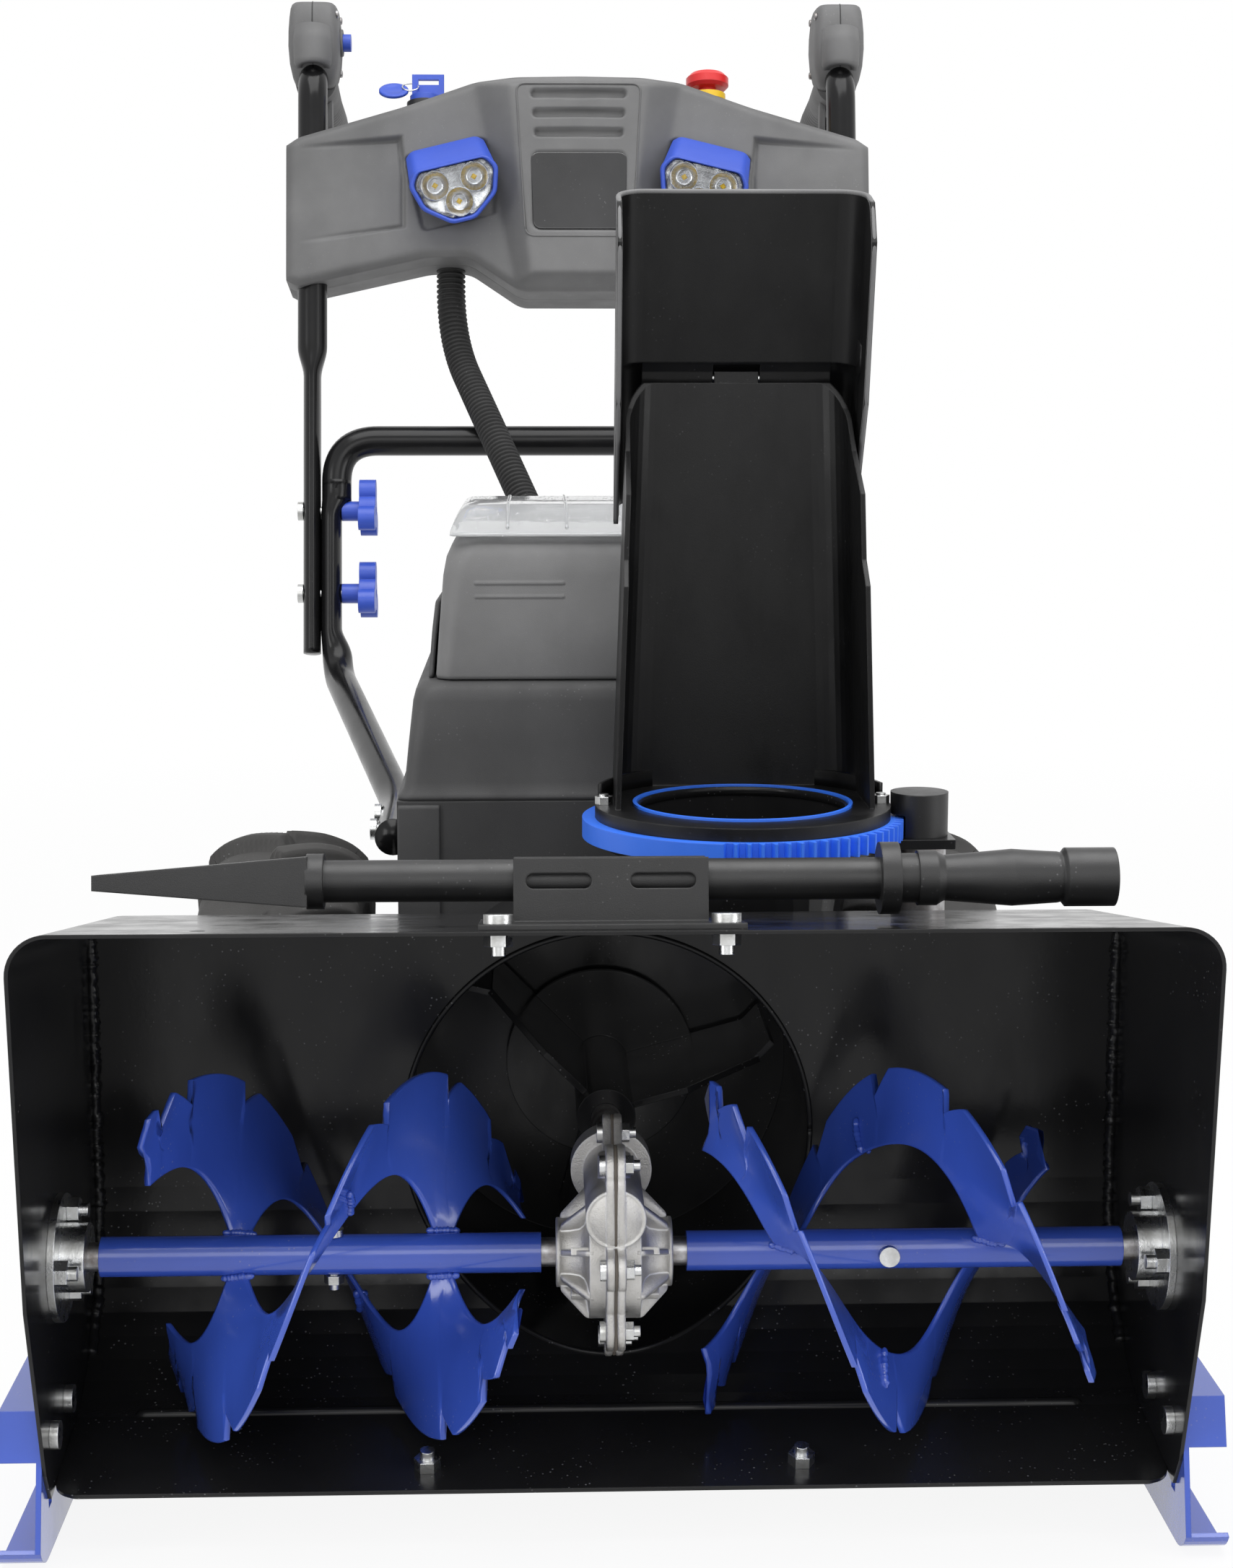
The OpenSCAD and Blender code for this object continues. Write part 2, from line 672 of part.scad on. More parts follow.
// Impeller: hub, back disc and three scooped blades
module impeller() {
    blade_t = 4;
    front = bucket_depth + 38;
    back = drum_back - sheet_t - 6;
    tip = impeller_r - 16;
    color(black_paint) machine() difference() {
        translate([0, 0, impeller_z]) {
            rod_y(front - 12, back - front + 12, 18);
            rod_y(back - 4, 4, 62);
            for (a = [15, 135, 255]) rotate([0, -a, 0]) {
                translate([0, 0, -blade_t / 2]) linear_extrude(blade_t)
                    polygon([[10, front], [52, front], [tip, front + 26], [tip, back], [10, back]]);
                translate([tip - 2, front + 26, -blade_t / 2]) rotate([0, -32, 0])
                    cube([16, back - front - 26, blade_t]);
            }
        }
        rod_y(0, 500, impeller_shaft_d / 2 + fit_gap, 0, impeller_z);
    }
}

// Belt drive from the auger motor to the impeller shaft
driven_r = 50;
drive_r = 18;
belt_d = 100;
belt_t = 4;
rim_h = 7;
motor_z = impeller_z + belt_d;
motor_shaft_r = 6;
bulk_y = pulley_y + pulley_w + 4;
bulk_t = 4;

module pulley(r, bore) {
    translate([0, pulley_y, 0]) rotate([-90, 0, 0]) difference() {
        union() {
            cylinder(r = r, h = pulley_w);
            for (z = [0, pulley_w - 2]) translate([0, 0, z]) cylinder(r = r + rim_h, h = 2);
        }
        translate([0, 0, -1]) cylinder(r = bore, h = pulley_w + 2);
    }
}

module driven_pulley() {
    color(steel) machine() translate([0, 0, impeller_z]) pulley(driven_r, impeller_shaft_d / 2 + fit_gap);
}

module motor_pulley() {
    color(steel) machine() translate([0, 0, motor_z]) {
        pulley(drive_r, motor_shaft_r - 0.5);
        rod_y(pulley_y, bulk_y + bulk_t - pulley_y + 40, motor_shaft_r);
    }
}

// Outline of a loop round both pulleys, g outside them
module belt_outline(g) {
    a = driven_r + g;
    b = drive_r + g;
    lean = asin((a - b) / belt_d);
    circle(r = a);
    translate([0, belt_d]) circle(r = b);
    polygon([[a * cos(lean), a * sin(lean)], [b * cos(lean), belt_d + b * sin(lean)],
        [-b * cos(lean), belt_d + b * sin(lean)], [-a * cos(lean), a * sin(lean)]]);
}

module drive_belt() {
    side = 2 + run_gap;
    color(rubber) machine() translate([0, 0, impeller_z]) back_from(pulley_y + side, pulley_w - 2 * side)
        difference() {
            belt_outline(run_gap + belt_t);
            belt_outline(run_gap);
        }
}

// Chassis box with its motor bulkhead and axle bearings
chassis_z = 95;
gear_m = 1.75;
gear_n = 40;
pinion_n = 12;
gear_x = 80;
gear_w = 14;
pinion_y = axle_y + gear_m * (gear_n + pinion_n) / 2 + run_gap;
drive_shaft_r = 5;

module chassis() {
    half = chassis_w / 2;
    h = chassis_top - chassis_z;
    color(black_plastic) machine() difference() {
        union() {
            difference() {
                translate([-half, chassis_y, chassis_z]) cube([chassis_w, chassis_l, h]);
                translate([-half + wall, chassis_y + wall, chassis_z + wall])
                    cube([chassis_w - 2 * wall, chassis_l - 2 * wall, h]);
            }
            translate([-half + 1, bulk_y, motor_z - 48]) cube([chassis_w - 2, bulk_t, 100]);
            both_sides() rod_x(half - wall - 6, wall + 12, 20, axle_y, wheel_z);
        }
        rod_x(-half - 20, chassis_w + 40, axle_d / 2 + fit_gap, axle_y, wheel_z);
        rod_y(chassis_y - 1, wall + 2, impeller_shaft_d / 2 + fit_gap, 0, impeller_z);
        rod_y(bulk_y - 1, bulk_t + 2, motor_shaft_r + fit_gap, 0, motor_z);
        for (s = [-1, 1], y = frame_bolts) rod_x(s * half - 10, 20, 4 + fit_gap, y, frame_leg_z(y));
        rod_y(chassis_y + chassis_l - wall - 1, wall + 2, conduit_d / 2 - 4, conduit_foot[0], conduit_foot[2]);
    }
}

// Auger motor, drive motor and chute motor
module motors() {
    motor_r = 42;
    drive_motor_r = 28;
    chute_motor_r = 17;
    seat_z = chassis_z + wall;
    color(steel) machine() {
        difference() {
            union() {
                rod_y(bulk_y + bulk_t, 110, motor_r, 0, motor_z);
                rod_y(bulk_y + bulk_t + 110 - eps, 12, motor_r - 12, 0, motor_z);
            }
            rod_y(bulk_y, 46, motor_shaft_r + fit_gap, 0, motor_z);
        }
        difference() {
            union() {
                rod_x(-70, gear_x - 8 + 70, drive_motor_r, pinion_y, wheel_z);
                translate([-40, pinion_y - 22, seat_z]) cube([80, 44, wheel_z - seat_z]);
            }
            rod_x(gear_x - 40, 60, drive_shaft_r + fit_gap, pinion_y, wheel_z);
        }
        difference() {
            translate([chute_pinion_x, chute_y, ring_z - run_gap - flange_t - 58])
                cylinder(r = chute_motor_r, h = 58);
            translate([chute_pinion_x, chute_y, ring_z - run_gap - flange_t - 25])
                cylinder(r = pinion_shaft_r + fit_gap, h = 30);
        }
    }
}

// Driven axle, its gear and the motor pinion
module axle() {
    half = track_w / 2 + 36;
    color(steel) machine() {
        rod_x(-half, 2 * half, axle_d / 2, axle_y, wheel_z);
        both_sides() rod_x(half - eps, 6, axle_d / 2 + 4, axle_y, wheel_z);
    }
}

module axle_gear() {
    color(steel) machine() difference() {
        translate([0, axle_y, wheel_z]) across(gear_x, gear_w) polygon(gear_points(gear_n, gear_m));
        rod_x(gear_x - 1, gear_w + 2, axle_d / 2 + fit_gap, axle_y, wheel_z);
    }
}

module drive_pinion() {
    color(steel) machine() {
        translate([0, pinion_y, wheel_z]) across(gear_x, gear_w) rotate(180 / pinion_n)
            polygon(gear_points(pinion_n, gear_m));
        rod_x(gear_x - 36, 36 + gear_w, drive_shaft_r, pinion_y, wheel_z);
    }
}

// Tyres with chevron lugs on a round carcass, and their rims
rim_r = 76;
module tyre() {
    r = tyre_d / 2;
    w = tyre_w / 2;
    lug_h = 11;
    lug_w = 15;
    lugs = 14;
    carcass = r - lug_h;
    rotate([0, 90, 0]) {
        rotate_extrude($fn = 96) polygon([[rim_r, -w + 22], [rim_r + 12, -w + 12], [r - 46, -w], [carcass - 20, -w + 2],
            [carcass - 8, -w + 12], [carcass - 2, -w + 28], [carcass, 0], [carcass - 2, w - 28], [carcass - 8, w - 12],
            [carcass - 20, w - 2], [r - 46, w], [rim_r + 12, w - 12], [rim_r, w - 22]]);
        intersection() {
            for (s = [-1, 1], i = [0:lugs - 1]) rotate(360 / lugs * (i + (s > 0 ? 0 : 0.5)))
                translate([r - lug_h - 16, 0, 0]) rotate([s * 28, 0, 0])
                    translate([0, -lug_w / 2, s > 0 ? -4 : -w - 10]) cube([lug_h + 30, lug_w, w + 14]);
            rotate_extrude($fn = 96) polygon([[r - lug_h - 16, -w + 4], [r - 17, -w + 4], [r - 7, -w + 16], [r - 1, -w + 32],
                [r, 0], [r - 1, w - 32], [r - 7, w - 16], [r - 17, w - 4], [r - lug_h - 16, w - 4]]);
        }
    }
}

module tyres() {
    color(rubber) machine() both_sides() translate([track_w / 2, axle_y, wheel_z]) tyre();
}

module wheel_rims() {
    w = tyre_w / 2;
    hub_r = 22;
    color(black_paint) machine() both_sides() translate([track_w / 2, axle_y, wheel_z]) rotate([0, 90, 0])
        rotate_extrude($fn = 96) polygon([[axle_d / 2 + fit_gap, -30], [hub_r, -30], [hub_r, -4], [rim_r - 8, 6],
            [rim_r - 4, -w + 22], [rim_r, -w + 22], [rim_r, w - 22], [rim_r - 4, w - 22], [rim_r - 8, 10], [hub_r, 0],
            [hub_r, 30], [axle_d / 2 + fit_gap, 30]]);
}
// Toothed ring that turns on the neck, with a collar through the chute's base
ring_teeth_half = 21;
chute_base_t = 8;
chute_base_z = ring_z + ring_t;
chute_bolt_r = 86.5;
chute_bolt_turns = [0, 90, 180];
chute_flange_r = 92;
cover_top = 375;

module at_chute() {
    translate([chute_x, chute_y, 0]) children();
}

module chute_bolt_places() {
    at_chute() for (a = chute_bolt_turns) rotate(a) translate([chute_bolt_r, 0, 0]) children();
}

module ring_gear() {
    collar_r = neck_r + collar_t;
    color(blue_plastic) machine() difference() {
        union() {
            translate([0, 0, ring_z]) linear_extrude(ring_t) at_chute() difference() {
                circle(r = ring_r, $fn = 96);
                difference() {
                    polygon([for (a = [-98:14:98]) 2 * ring_r * [cos(a), sin(a)], [-ring_r / 8, 0]]);
                    polygon(gear_points(ring_n, ring_module));
                }
            }
            at_chute() translate([0, 0, ring_z]) cylinder(r = collar_r, h = ring_t + chute_base_t + 1.5);
        }
        at_chute() cylinder(r = neck_r + fit_gap, h = 500);
        chute_bolt_places() cylinder(r = 3 + fit_gap, h = 500);
    }
}

// Chute: round base flange and a tapering channel open to the front
hinge_y = chute_y + 78;
hinge_z = chute_top + 3;
chute_back = 74;
module channel(w0, w1, g) {
    front = -40;
    over = g > 0 ? 1 : 0;
    z0 = chute_base_z + 2 - over * 3;
    hull() {
        for (q = [[w0 / 2 - g, z0], [w1 / 2 - g, chute_top + over]]) {
            r = 24 - g;
            for (s = [-1, 1]) translate([s * (q[0] - r), chute_back - g - r, q[1]]) cylinder(r = r, h = eps, $fn = 32);
            translate([-q[0], front, q[1]]) cube([2 * q[0], 1, eps]);
        }
    }
}

module chute() {
    collar_r = neck_r + collar_t;
    lug_half = 14;
    color(black_plastic) machine() difference() {
        union() {
            at_chute() translate([0, 0, chute_base_z]) cylinder(r = chute_flange_r, h = chute_base_t);
            intersection() {
                at_chute() difference() {
                    channel(chute_w, chute_top_w, 0);
                    channel(chute_w, chute_top_w, chute_t);
                }
                translate([0, chute_y, chute_top]) across(0, 2 * chute_x) polygon([[-24, -300], [-24, -122], [-8, -107],
                    [-8, -67], [30, -42], [58, -16], [70, 0], [90, 0], [90, -300]]);
            }
            translate([chute_x - lug_half, chute_y + chute_back - 1, hinge_z - 18]) cube([2 * lug_half, 8, 22]);
        }
        at_chute() difference() {
            cylinder(r = 2 * chute_flange_r, h = cover_top + 2);
            cylinder(r = chute_flange_r, h = 400);
        }
        at_chute() cylinder(r = collar_r + fit_gap, h = 400);
        chute_bolt_places() cylinder(r = 3 + fit_gap, h = 400);
        rod_x(0, 2 * chute_x, 2.5 + fit_gap, hinge_y, hinge_z);
    }
}

module chute_bolts() {
    color(zinc) machine() chute_bolt_places() {
        translate([0, 0, ring_z + 0.3]) cylinder(r = 3, h = ring_t + chute_base_t + 6);
        translate([0, 0, chute_base_z + chute_base_t]) cylinder(r = 5.5, h = 5, $fn = 6);
    }
}

// Deflector hinged on the chute's rear top edge, with skirts outside the chute's sides
deflector_lean = 16;
lug_gap = 15;
knuckle_w = 13;
hinge_half = 30;
module deflector() {
    half = chute_w / 2 - (chute_w - chute_top_w) / 2 * (chute_top - 112 - chute_base_z) / (chute_top - chute_base_z)
        + 2 * run_gap + chute_t;
    deep = 62;
    drop = 88;
    back = -4;
    r = 18;
    flap_y = back + 0.8;
    flap_l = 30;
    color(black_plastic) machine() translate([chute_x, hinge_y, hinge_z]) rotate([deflector_lean, 0, 0])
        difference() {
            union() {
                difference() {
                    translate([0, 0, -drop]) linear_extrude(drop + deflector_h) difference() {
                        deflector_outline(half, deep, back, r);
                        deflector_outline(half - chute_t, deep + 9, back - chute_t, r - chute_t);
                    }
                    translate([-half + chute_t, -2 * deep, -2 * drop]) cube([2 * (half - chute_t), 4 * deep, 2 * drop + 12]);
                    across(-half - 1, 2 * half + 2) polygon([[-deep - 9, -drop - 1], [-deep + 34, -drop - 1],
                        [-deep + 4, 0], [-deep + 4, deflector_h - 20], [-deep + 24, deflector_h + 1],
                        [-deep - 9, deflector_h + 1]]);
                }
                for (s = [-1, 1]) translate([s * (lug_gap + knuckle_w / 2) - knuckle_w / 2, flap_y, -5])
                    cube([knuckle_w, 8, 20]);
                difference() {
                    across(-half + r, 2 * (half - r)) polygon([[flap_y, -flap_l], [flap_y + chute_t, -flap_l],
                        [flap_y + chute_t, 24], [back - 1, 24], [back - 1, 12], [flap_y, 5]]);
                    translate([-lug_gap, -20, -2 * flap_l]) cube([2 * lug_gap, 40, 2 * flap_l + 10]);
                }
            }
            rod_x(-hinge_half - run_gap, 2 * (hinge_half + run_gap), 2.5 + fit_gap / 2);
        }
}

module deflector_outline(half, deep, back, r) {
    translate([-half, -deep]) square([2 * half, deep + back - r]);
    translate([-half + r, -deep]) square([2 * (half - r), deep + back]);
    for (s = [-1, 1]) translate([s * (half - r), back - r]) circle(r = r);
}

module hinge_pin() {
    color(zinc) machine() rod_x(chute_x - hinge_half, 2 * hinge_half, 2.5, hinge_y, hinge_z);
}

// Pinion that turns the ring, under its cover
module chute_pinion() {
    color(black_plastic) machine() translate([chute_pinion_x, chute_y, 0]) {
        translate([0, 0, ring_z + run_gap]) linear_extrude(ring_t - 2 * run_gap) rotate(180 / pinion_teeth)
            polygon(gear_points(pinion_teeth, ring_module));
        translate([0, 0, ring_z - 26]) cylinder(r = pinion_shaft_r, h = 26 + ring_t);
    }
}

module pinion_cover() {
    cap_r = 18;
    inner_r = 15.8;
    base_z = ring_z - run_gap;
    color(black_plastic) machine() difference() {
        translate([chute_pinion_x, chute_y, base_z]) cylinder(r = cap_r, h = cover_top - base_z);
        translate([chute_pinion_x, chute_y, base_z - 1]) cylinder(r = inner_r, h = ring_t + 3);
        at_chute() cylinder(r = ring_r + 1, h = chute_base_z + 1.5);
    }
}

// Hood over the chassis box, with a flat deck for the batteries and the lid's hinge
deck_z = chassis_top + hood_h;
lid_hinge_y = chassis_y + chassis_l - 9;
lid_hinge_z = deck_z + 7;
lid_pin_r = 3;

// Box with round upright corners, from half width a and y range at the bottom to another at the top
module soft_box(a, y0, y1, z0, b, y2, y3, z1, r) {
    hull() {
        for (q = [[a, y0, y1, z0], [b, y2, y3, z1 - eps]], s = [-1, 1], k = [1, 2])
            translate([s * (q[0] - r), q[k] + (k == 1 ? r : -r), q[3]]) cylinder(r = r, h = eps, $fn = 24);
    }
}

module hood() {
    half = chassis_w / 2;
    back = chassis_y + chassis_l;
    color(black_plastic) machine() difference() {
        union() {
            difference() {
                soft_box(half, chassis_y, back, chassis_top, half - 15, chassis_y + 16, back - 6, deck_z, 9);
                soft_box(half - wall, chassis_y + wall, back - wall, chassis_top - 1, half - 15 - wall,
                    chassis_y + 16 + wall, back - 6 - wall, deck_z - wall, 6);
            }
            both_sides() translate([62, lid_hinge_y - 6, deck_z - eps]) cube([8, 12, 13]);
        }
        rod_x(-half, 2 * half, lid_pin_r + fit_gap, lid_hinge_y, lid_hinge_z);
    }
}

// Battery lid, hinged at the rear, with a clear window on top
lid_z = deck_z + run_gap;
lid_top = lid_z + lid_h;
lid_front = chassis_y + 22;
module battery_lid() {
    a = chassis_w / 2 - 26;
    b = a - 7;
    rear = lid_hinge_y - 9;
    color(black_plastic) machine() {
        difference() {
            soft_box(a, lid_front, rear, lid_z, b, lid_front + 12, rear - 10, lid_top, 12);
            soft_box(a - wall, lid_front + wall, rear - wall, lid_z - 1, b - wall, lid_front + 12 + wall,
                rear - 10 - wall, lid_top - wall, 9);
            translate([-b + 14, lid_front + 28, lid_z]) cube([2 * b - 28, rear - lid_front - 52, lid_h + 5]);
        }
        rod_x(-61, 122, 5.5, lid_hinge_y, lid_hinge_z);
        rod_x(-69, 138, lid_pin_r, lid_hinge_y, lid_hinge_z);
        both_sides() translate([20, rear - 4, lid_hinge_z - 4]) cube([30, 10, 8]);
    }
}

module lid_window() {
    a = chassis_w / 2 - 35;
    rear = lid_hinge_y - 21;
    t = 2.5;
    color(clear) machine() difference() {
        soft_box(a, lid_front + 14, rear, lid_top, a - 8, lid_front + 88, rear - 8, lid_top + window_h, 10);
        soft_box(a - t, lid_front + 14 + t, rear - t, lid_top - 1, a - 8 - t, lid_front + 88 + t, rear - 8 - t,
            lid_top + window_h - t, 8);
    }
}

module batteries() {
    color(grey_plastic) machine() both_sides() translate([7, lid_front + 36, deck_z]) cube([82, 170, lid_h - 10]);
}

// Lower frame: one bent tube, bolted to the chassis sides, with its upright runs flattened
frame_y = overall_l - 344;
frame_z = 368;
frame_leg_x = chassis_w / 2 + tube_d / 2;
leg_front = [frame_leg_x, 600, 296];
leg_back = [frame_leg_x, 706, 300];
frame_bolts = [630, 684];
function frame_leg_z(y) = leg_front[2] + (y - leg_front[1]) * (leg_back[2] - leg_front[2]) / (leg_back[1] - leg_front[1]);
frame_w = tube_d - 8;
bend_x = frame_x - (tube_d - frame_w) / 2 - run_gap;
frame_deep = tube_d + 5;
handle_w = tube_d - 11;
handle_x = frame_x + (frame_w + handle_w) / 2;
function on_lean(y, z) = [frame_y + y * cos(handle_lean) + z * sin(handle_lean),
    frame_z - y * sin(handle_lean) + z * cos(handle_lean)];
function lean_point(x, y, z) = [x, on_lean(y, z)[0], on_lean(y, z)[1]];
upright_l = (cross_z - frame_z) / cos(handle_lean);
knob_heights = [72, 148];

module on_handle() {
    translate([0, frame_y, frame_z]) rotate([-handle_lean, 0, 0]) children();
}

module lower_frame() {
    low = 26;
    high = upright_l - 50;
    lap = 6;
    color(black_paint) machine() difference() {
        union() {
            both_sides() {
                bent_rod([leg_front, leg_back, lean_point(bend_x, 0, 0), lean_point(bend_x, 0, low + lap)],
                    tube_d / 2, 40);
                on_handle() translate([frame_x, 0, low]) linear_extrude(high - low) oval_bar(frame_w, frame_deep);
            }
            bent_rod([lean_point(bend_x, 0, high - lap), lean_point(bend_x, 0, upright_l),
                lean_point(-bend_x, 0, upright_l), lean_point(-bend_x, 0, high - lap)], tube_d / 2, 38);
        }
        on_handle() for (z = knob_heights) rod_x(-300, 600, 4 + fit_gap, 0, z);
        for (s = [-1, 1], y = frame_bolts) rod_x(s * frame_leg_x - 30, 60, 4 + fit_gap, y, frame_leg_z(y));
    }
}

// Upper handle tubes: flattened at the clamps, round above, bent back into the grips
handle_low = 17;
handle_flat_top = 288;
handle_bend = 560;
grip_root = lean_point(handle_x, 0, handle_bend);
grip_pitch = 10;
grip_end = grip_root + 62 * [0, cos(grip_pitch), -sin(grip_pitch)];
module handle_tubes() {
    lap = 6;
    color(black_paint) machine() difference() {
        both_sides() {
            on_handle() translate([handle_x, 0, handle_low]) linear_extrude(handle_flat_top - handle_low)
                oval_bar(handle_w, frame_deep);
            bent_rod([lean_point(handle_x, 0, handle_flat_top - lap), grip_root, grip_end], tube_d / 2, 34);
        }
        on_handle() for (z = knob_heights) rod_x(-300, 600, 4 + fit_gap, 0, z);
    }
}

module handle_bolts() {
    tip = frame_x - frame_w / 2 - 28;
    color(zinc) machine() {
        both_sides() on_handle() for (z = knob_heights) {
            rod_x(tip, handle_x + handle_w / 2 - tip, 4, 0, z);
            rod_x(handle_x + handle_w / 2, 5, 8.5, 0, z);
        }
        both_sides() for (y = frame_bolts) {
            rod_x(chassis_w / 2 - wall - 10, tube_d + wall + 10, 4, y, frame_leg_z(y));
            rod_x(frame_leg_x + tube_d / 2, 5, 8, y, frame_leg_z(y));
            rod_x(chassis_w / 2 - wall - 6, 6, 7, y, frame_leg_z(y), $fn = 6);
        }
    }
}

// Clamp knob with three lobes on a stem, turning on its bolt
module knob(z) {
    stem_l = 16;
    head_t = 15;
    start = frame_x - frame_w / 2 - run_gap;
    color(blue_plastic) machine() on_handle() translate([start, 0, z]) rotate([0, -90, 0]) difference() {
        union() {
            cylinder(r = 9, h = stem_l + 1);
            translate([0, 0, stem_l]) linear_extrude(head_t) {
                circle(r = 15);
                for (a = [0, 120, 240]) rotate(a) translate([18, 0]) circle(r = 11);
            }
        }
        translate([0, 0, -1]) cylinder(r = 4 + fit_gap, h = stem_l + head_t + 2);
    }
}

module knob_right_low() {
    knob(knob_heights[0]);
}

module knob_right_top() {
    knob(knob_heights[1]);
}

module knob_left_low() {
    mirror([1, 0, 0]) knob(knob_heights[0]);
}

module knob_left_top() {
    mirror([1, 0, 0]) knob(knob_heights[1]);
}
// Console: front and rear shells clamped round the handle tubes
console_front_y = -24;
console_split = 10;
console_rear_y = 52;
shell_t = 3;
console_half = console_w / 2;
console_points = [[0, 348], [54, 348], [101, 380], [138, 380], [console_half - 8, 352], [console_half, 360],
    [console_half, 482], [console_half - 8, 490], [160, 520], [95, 543], [58, 548], [0, 549]];

module console_outline(g) {
    offset(delta = -g) {
        polygon(console_points);
        mirror([1, 0]) polygon(console_points);
    }
}

module tube_holes() {
    for (s = [-1, 1]) translate([s * handle_x, 0, 300]) cylinder(d = tube_d + 2 * fit_gap, h = 300);
}

// Raised middle panel of the console, g inside its outer faces
module console_nose(g) {
    hull() {
        back_from(console_front_y - 22 + g, eps) polygon([[-64 + g, 540 - g], [64 - g, 540 - g], [44 - g, 356 + g],
            [-44 + g, 356 + g]]);
        back_from(console_front_y + abs(g), eps) polygon([[-96 + g, 542 - g], [96 - g, 542 - g], [58 - g, 350 + g],
            [-58 + g, 350 + g]]);
    }
}

window_z = [398, 470];
window_half = [41, 45];
window_t = 2;
module console_window_outline(g) {
    offset(delta = -g) polygon([[-window_half[0], window_z[0]], [window_half[0], window_z[0]],
        [window_half[1], window_z[1]], [-window_half[1], window_z[1]]]);
}

module console_front() {
    nose_y = console_front_y - 22;
    color(grey_plastic) machine() on_handle() difference() {
        union() {
            back_from(console_front_y, console_split - console_front_y) console_outline(0);
            console_nose(0);
        }
        back_from(console_front_y + shell_t, 100) console_outline(shell_t);
        console_nose(shell_t + 1);
        back_from(nose_y - 1, window_t + 1) console_window_outline(0);
        for (i = [0:2]) translate([-42, nose_y - 1, 484 + 18 * i]) cube([84, 3, 8]);
        tube_holes();
    }
}

module console_rear() {
    color(grey_plastic) machine() on_handle() difference() {
        back_from(console_split, console_rear_y - console_split) console_outline(0);
        back_from(console_split - 1, console_rear_y - console_split - shell_t + 1) console_outline(shell_t);
        tube_holes();
        translate([estop_x, panel_y, 400]) cylinder(r = estop_barrel_r + fit_gap, h = 200);
        translate([key_x, panel_y, 400]) cylinder(r = key_barrel_r + fit_gap, h = 200);
        translate([conduit_x, panel_y, 300]) cylinder(r = conduit_d / 2 - 4, h = 100);
    }
}

// Work lamps on the console's front face
lamp_x = 112;
lamp_z = 452;
lamp_turn = 14;
lamp_deep = 40;
lamp_points = [[-34, 30], [34, 30], [43, 8], [36, -18], [9, -36], [-9, -36], [-36, -18], [-43, 8]];

module at_lamps() {
    both_sides() translate([-lamp_x, 0, lamp_z]) rotate([0, -lamp_turn, 0]) children();
}

module lamp_housings() {
    front = console_front_y - lamp_deep;
    color(blue_plastic) machine() on_handle() difference() {
        at_lamps() back_from(front, lamp_deep) polygon(lamp_points);
        at_lamps() back_from(front - 1, 15) offset(delta = -4) polygon(lamp_points);
        console_nose(-run_gap);
    }
}

// Clear pieces: the console's window and the lamps' lenses
module clear_covers() {
    front = console_front_y - lamp_deep;
    color(clear) machine() on_handle() {
        back_from(console_front_y - 22, window_t) console_window_outline(run_gap);
        difference() {
            at_lamps() back_from(front + 2, 3) offset(delta = -4) polygon(lamp_points);
            console_nose(-run_gap);
        }
    }
}

// Emergency stop and key switch on the console's top
panel_y = 31;
estop_x = 123;
estop_barrel_r = 13;
estop_stem_r = 8;
estop_travel = 5;
collar_z = 543;
module estop_collar() {
    color([0.90, 0.75, 0.10]) machine() on_handle() translate([estop_x, panel_y, 0]) difference() {
        union() {
            translate([0, 0, collar_z - 26]) cylinder(r = estop_barrel_r, h = 27);
            translate([0, 0, collar_z]) cylinder(r = 17, h = 6);
        }
        translate([0, 0, collar_z - 20]) cylinder(r = estop_stem_r + fit_gap, h = 40);
    }
}

module estop_button() {
    base = collar_z + 6 + estop_travel + run_gap;
    color([0.80, 0.10, 0.08]) machine() on_handle() translate([estop_x, panel_y, 0]) {
        translate([0, 0, collar_z - 12]) cylinder(r = estop_stem_r, h = base - collar_z + 13);
        translate([0, 0, base]) rotate_extrude() polygon([[0, 0], [estop_d / 2 - 3, 0], [estop_d / 2, 3],
            [estop_d / 2, 10], [estop_d / 2 - 4, 14], [0, 15]]);
    }
}

key_x = -143;
key_barrel_r = 12;
key_z = 535;
module key_switch() {
    color(black_plastic) machine() on_handle() translate([key_x, panel_y, 0]) difference() {
        union() {
            translate([0, 0, key_z - 26]) cylinder(r = key_barrel_r, h = 27);
            translate([0, 0, key_z]) cylinder(r = 17, h = 5);
        }
        translate([0, 0, key_z - 18]) cylinder(r = 5 + fit_gap, h = 40);
    }
}

module key() {
    color(blue_plastic) machine() on_handle() translate([key_x, panel_y, key_z + 5 + run_gap]) {
        translate([0, 0, -16]) cylinder(r = 5, h = 17);
        cylinder(r = 14, h = 6);
        difference() {
            translate([-12, -2, 5]) cube([30, 4, 22]);
            translate([-6, -3, 17]) cube([19, 6, 5]);
        }
    }
}

// Grips: an upper housing over the tube's bend and a handle that runs back and down
lever_y = grip_root[1] + 52;
lever_z = grip_root[2] - 42;
lever_pin_r = 3;
lever_hub_r = 7;
lever_half = 8;
button_y = grip_root[1] + 38;
button_z = grip_root[2] + 30;
button_r = 8;
button_travel = 5;
housing_half = 19;
grip_top = 984;

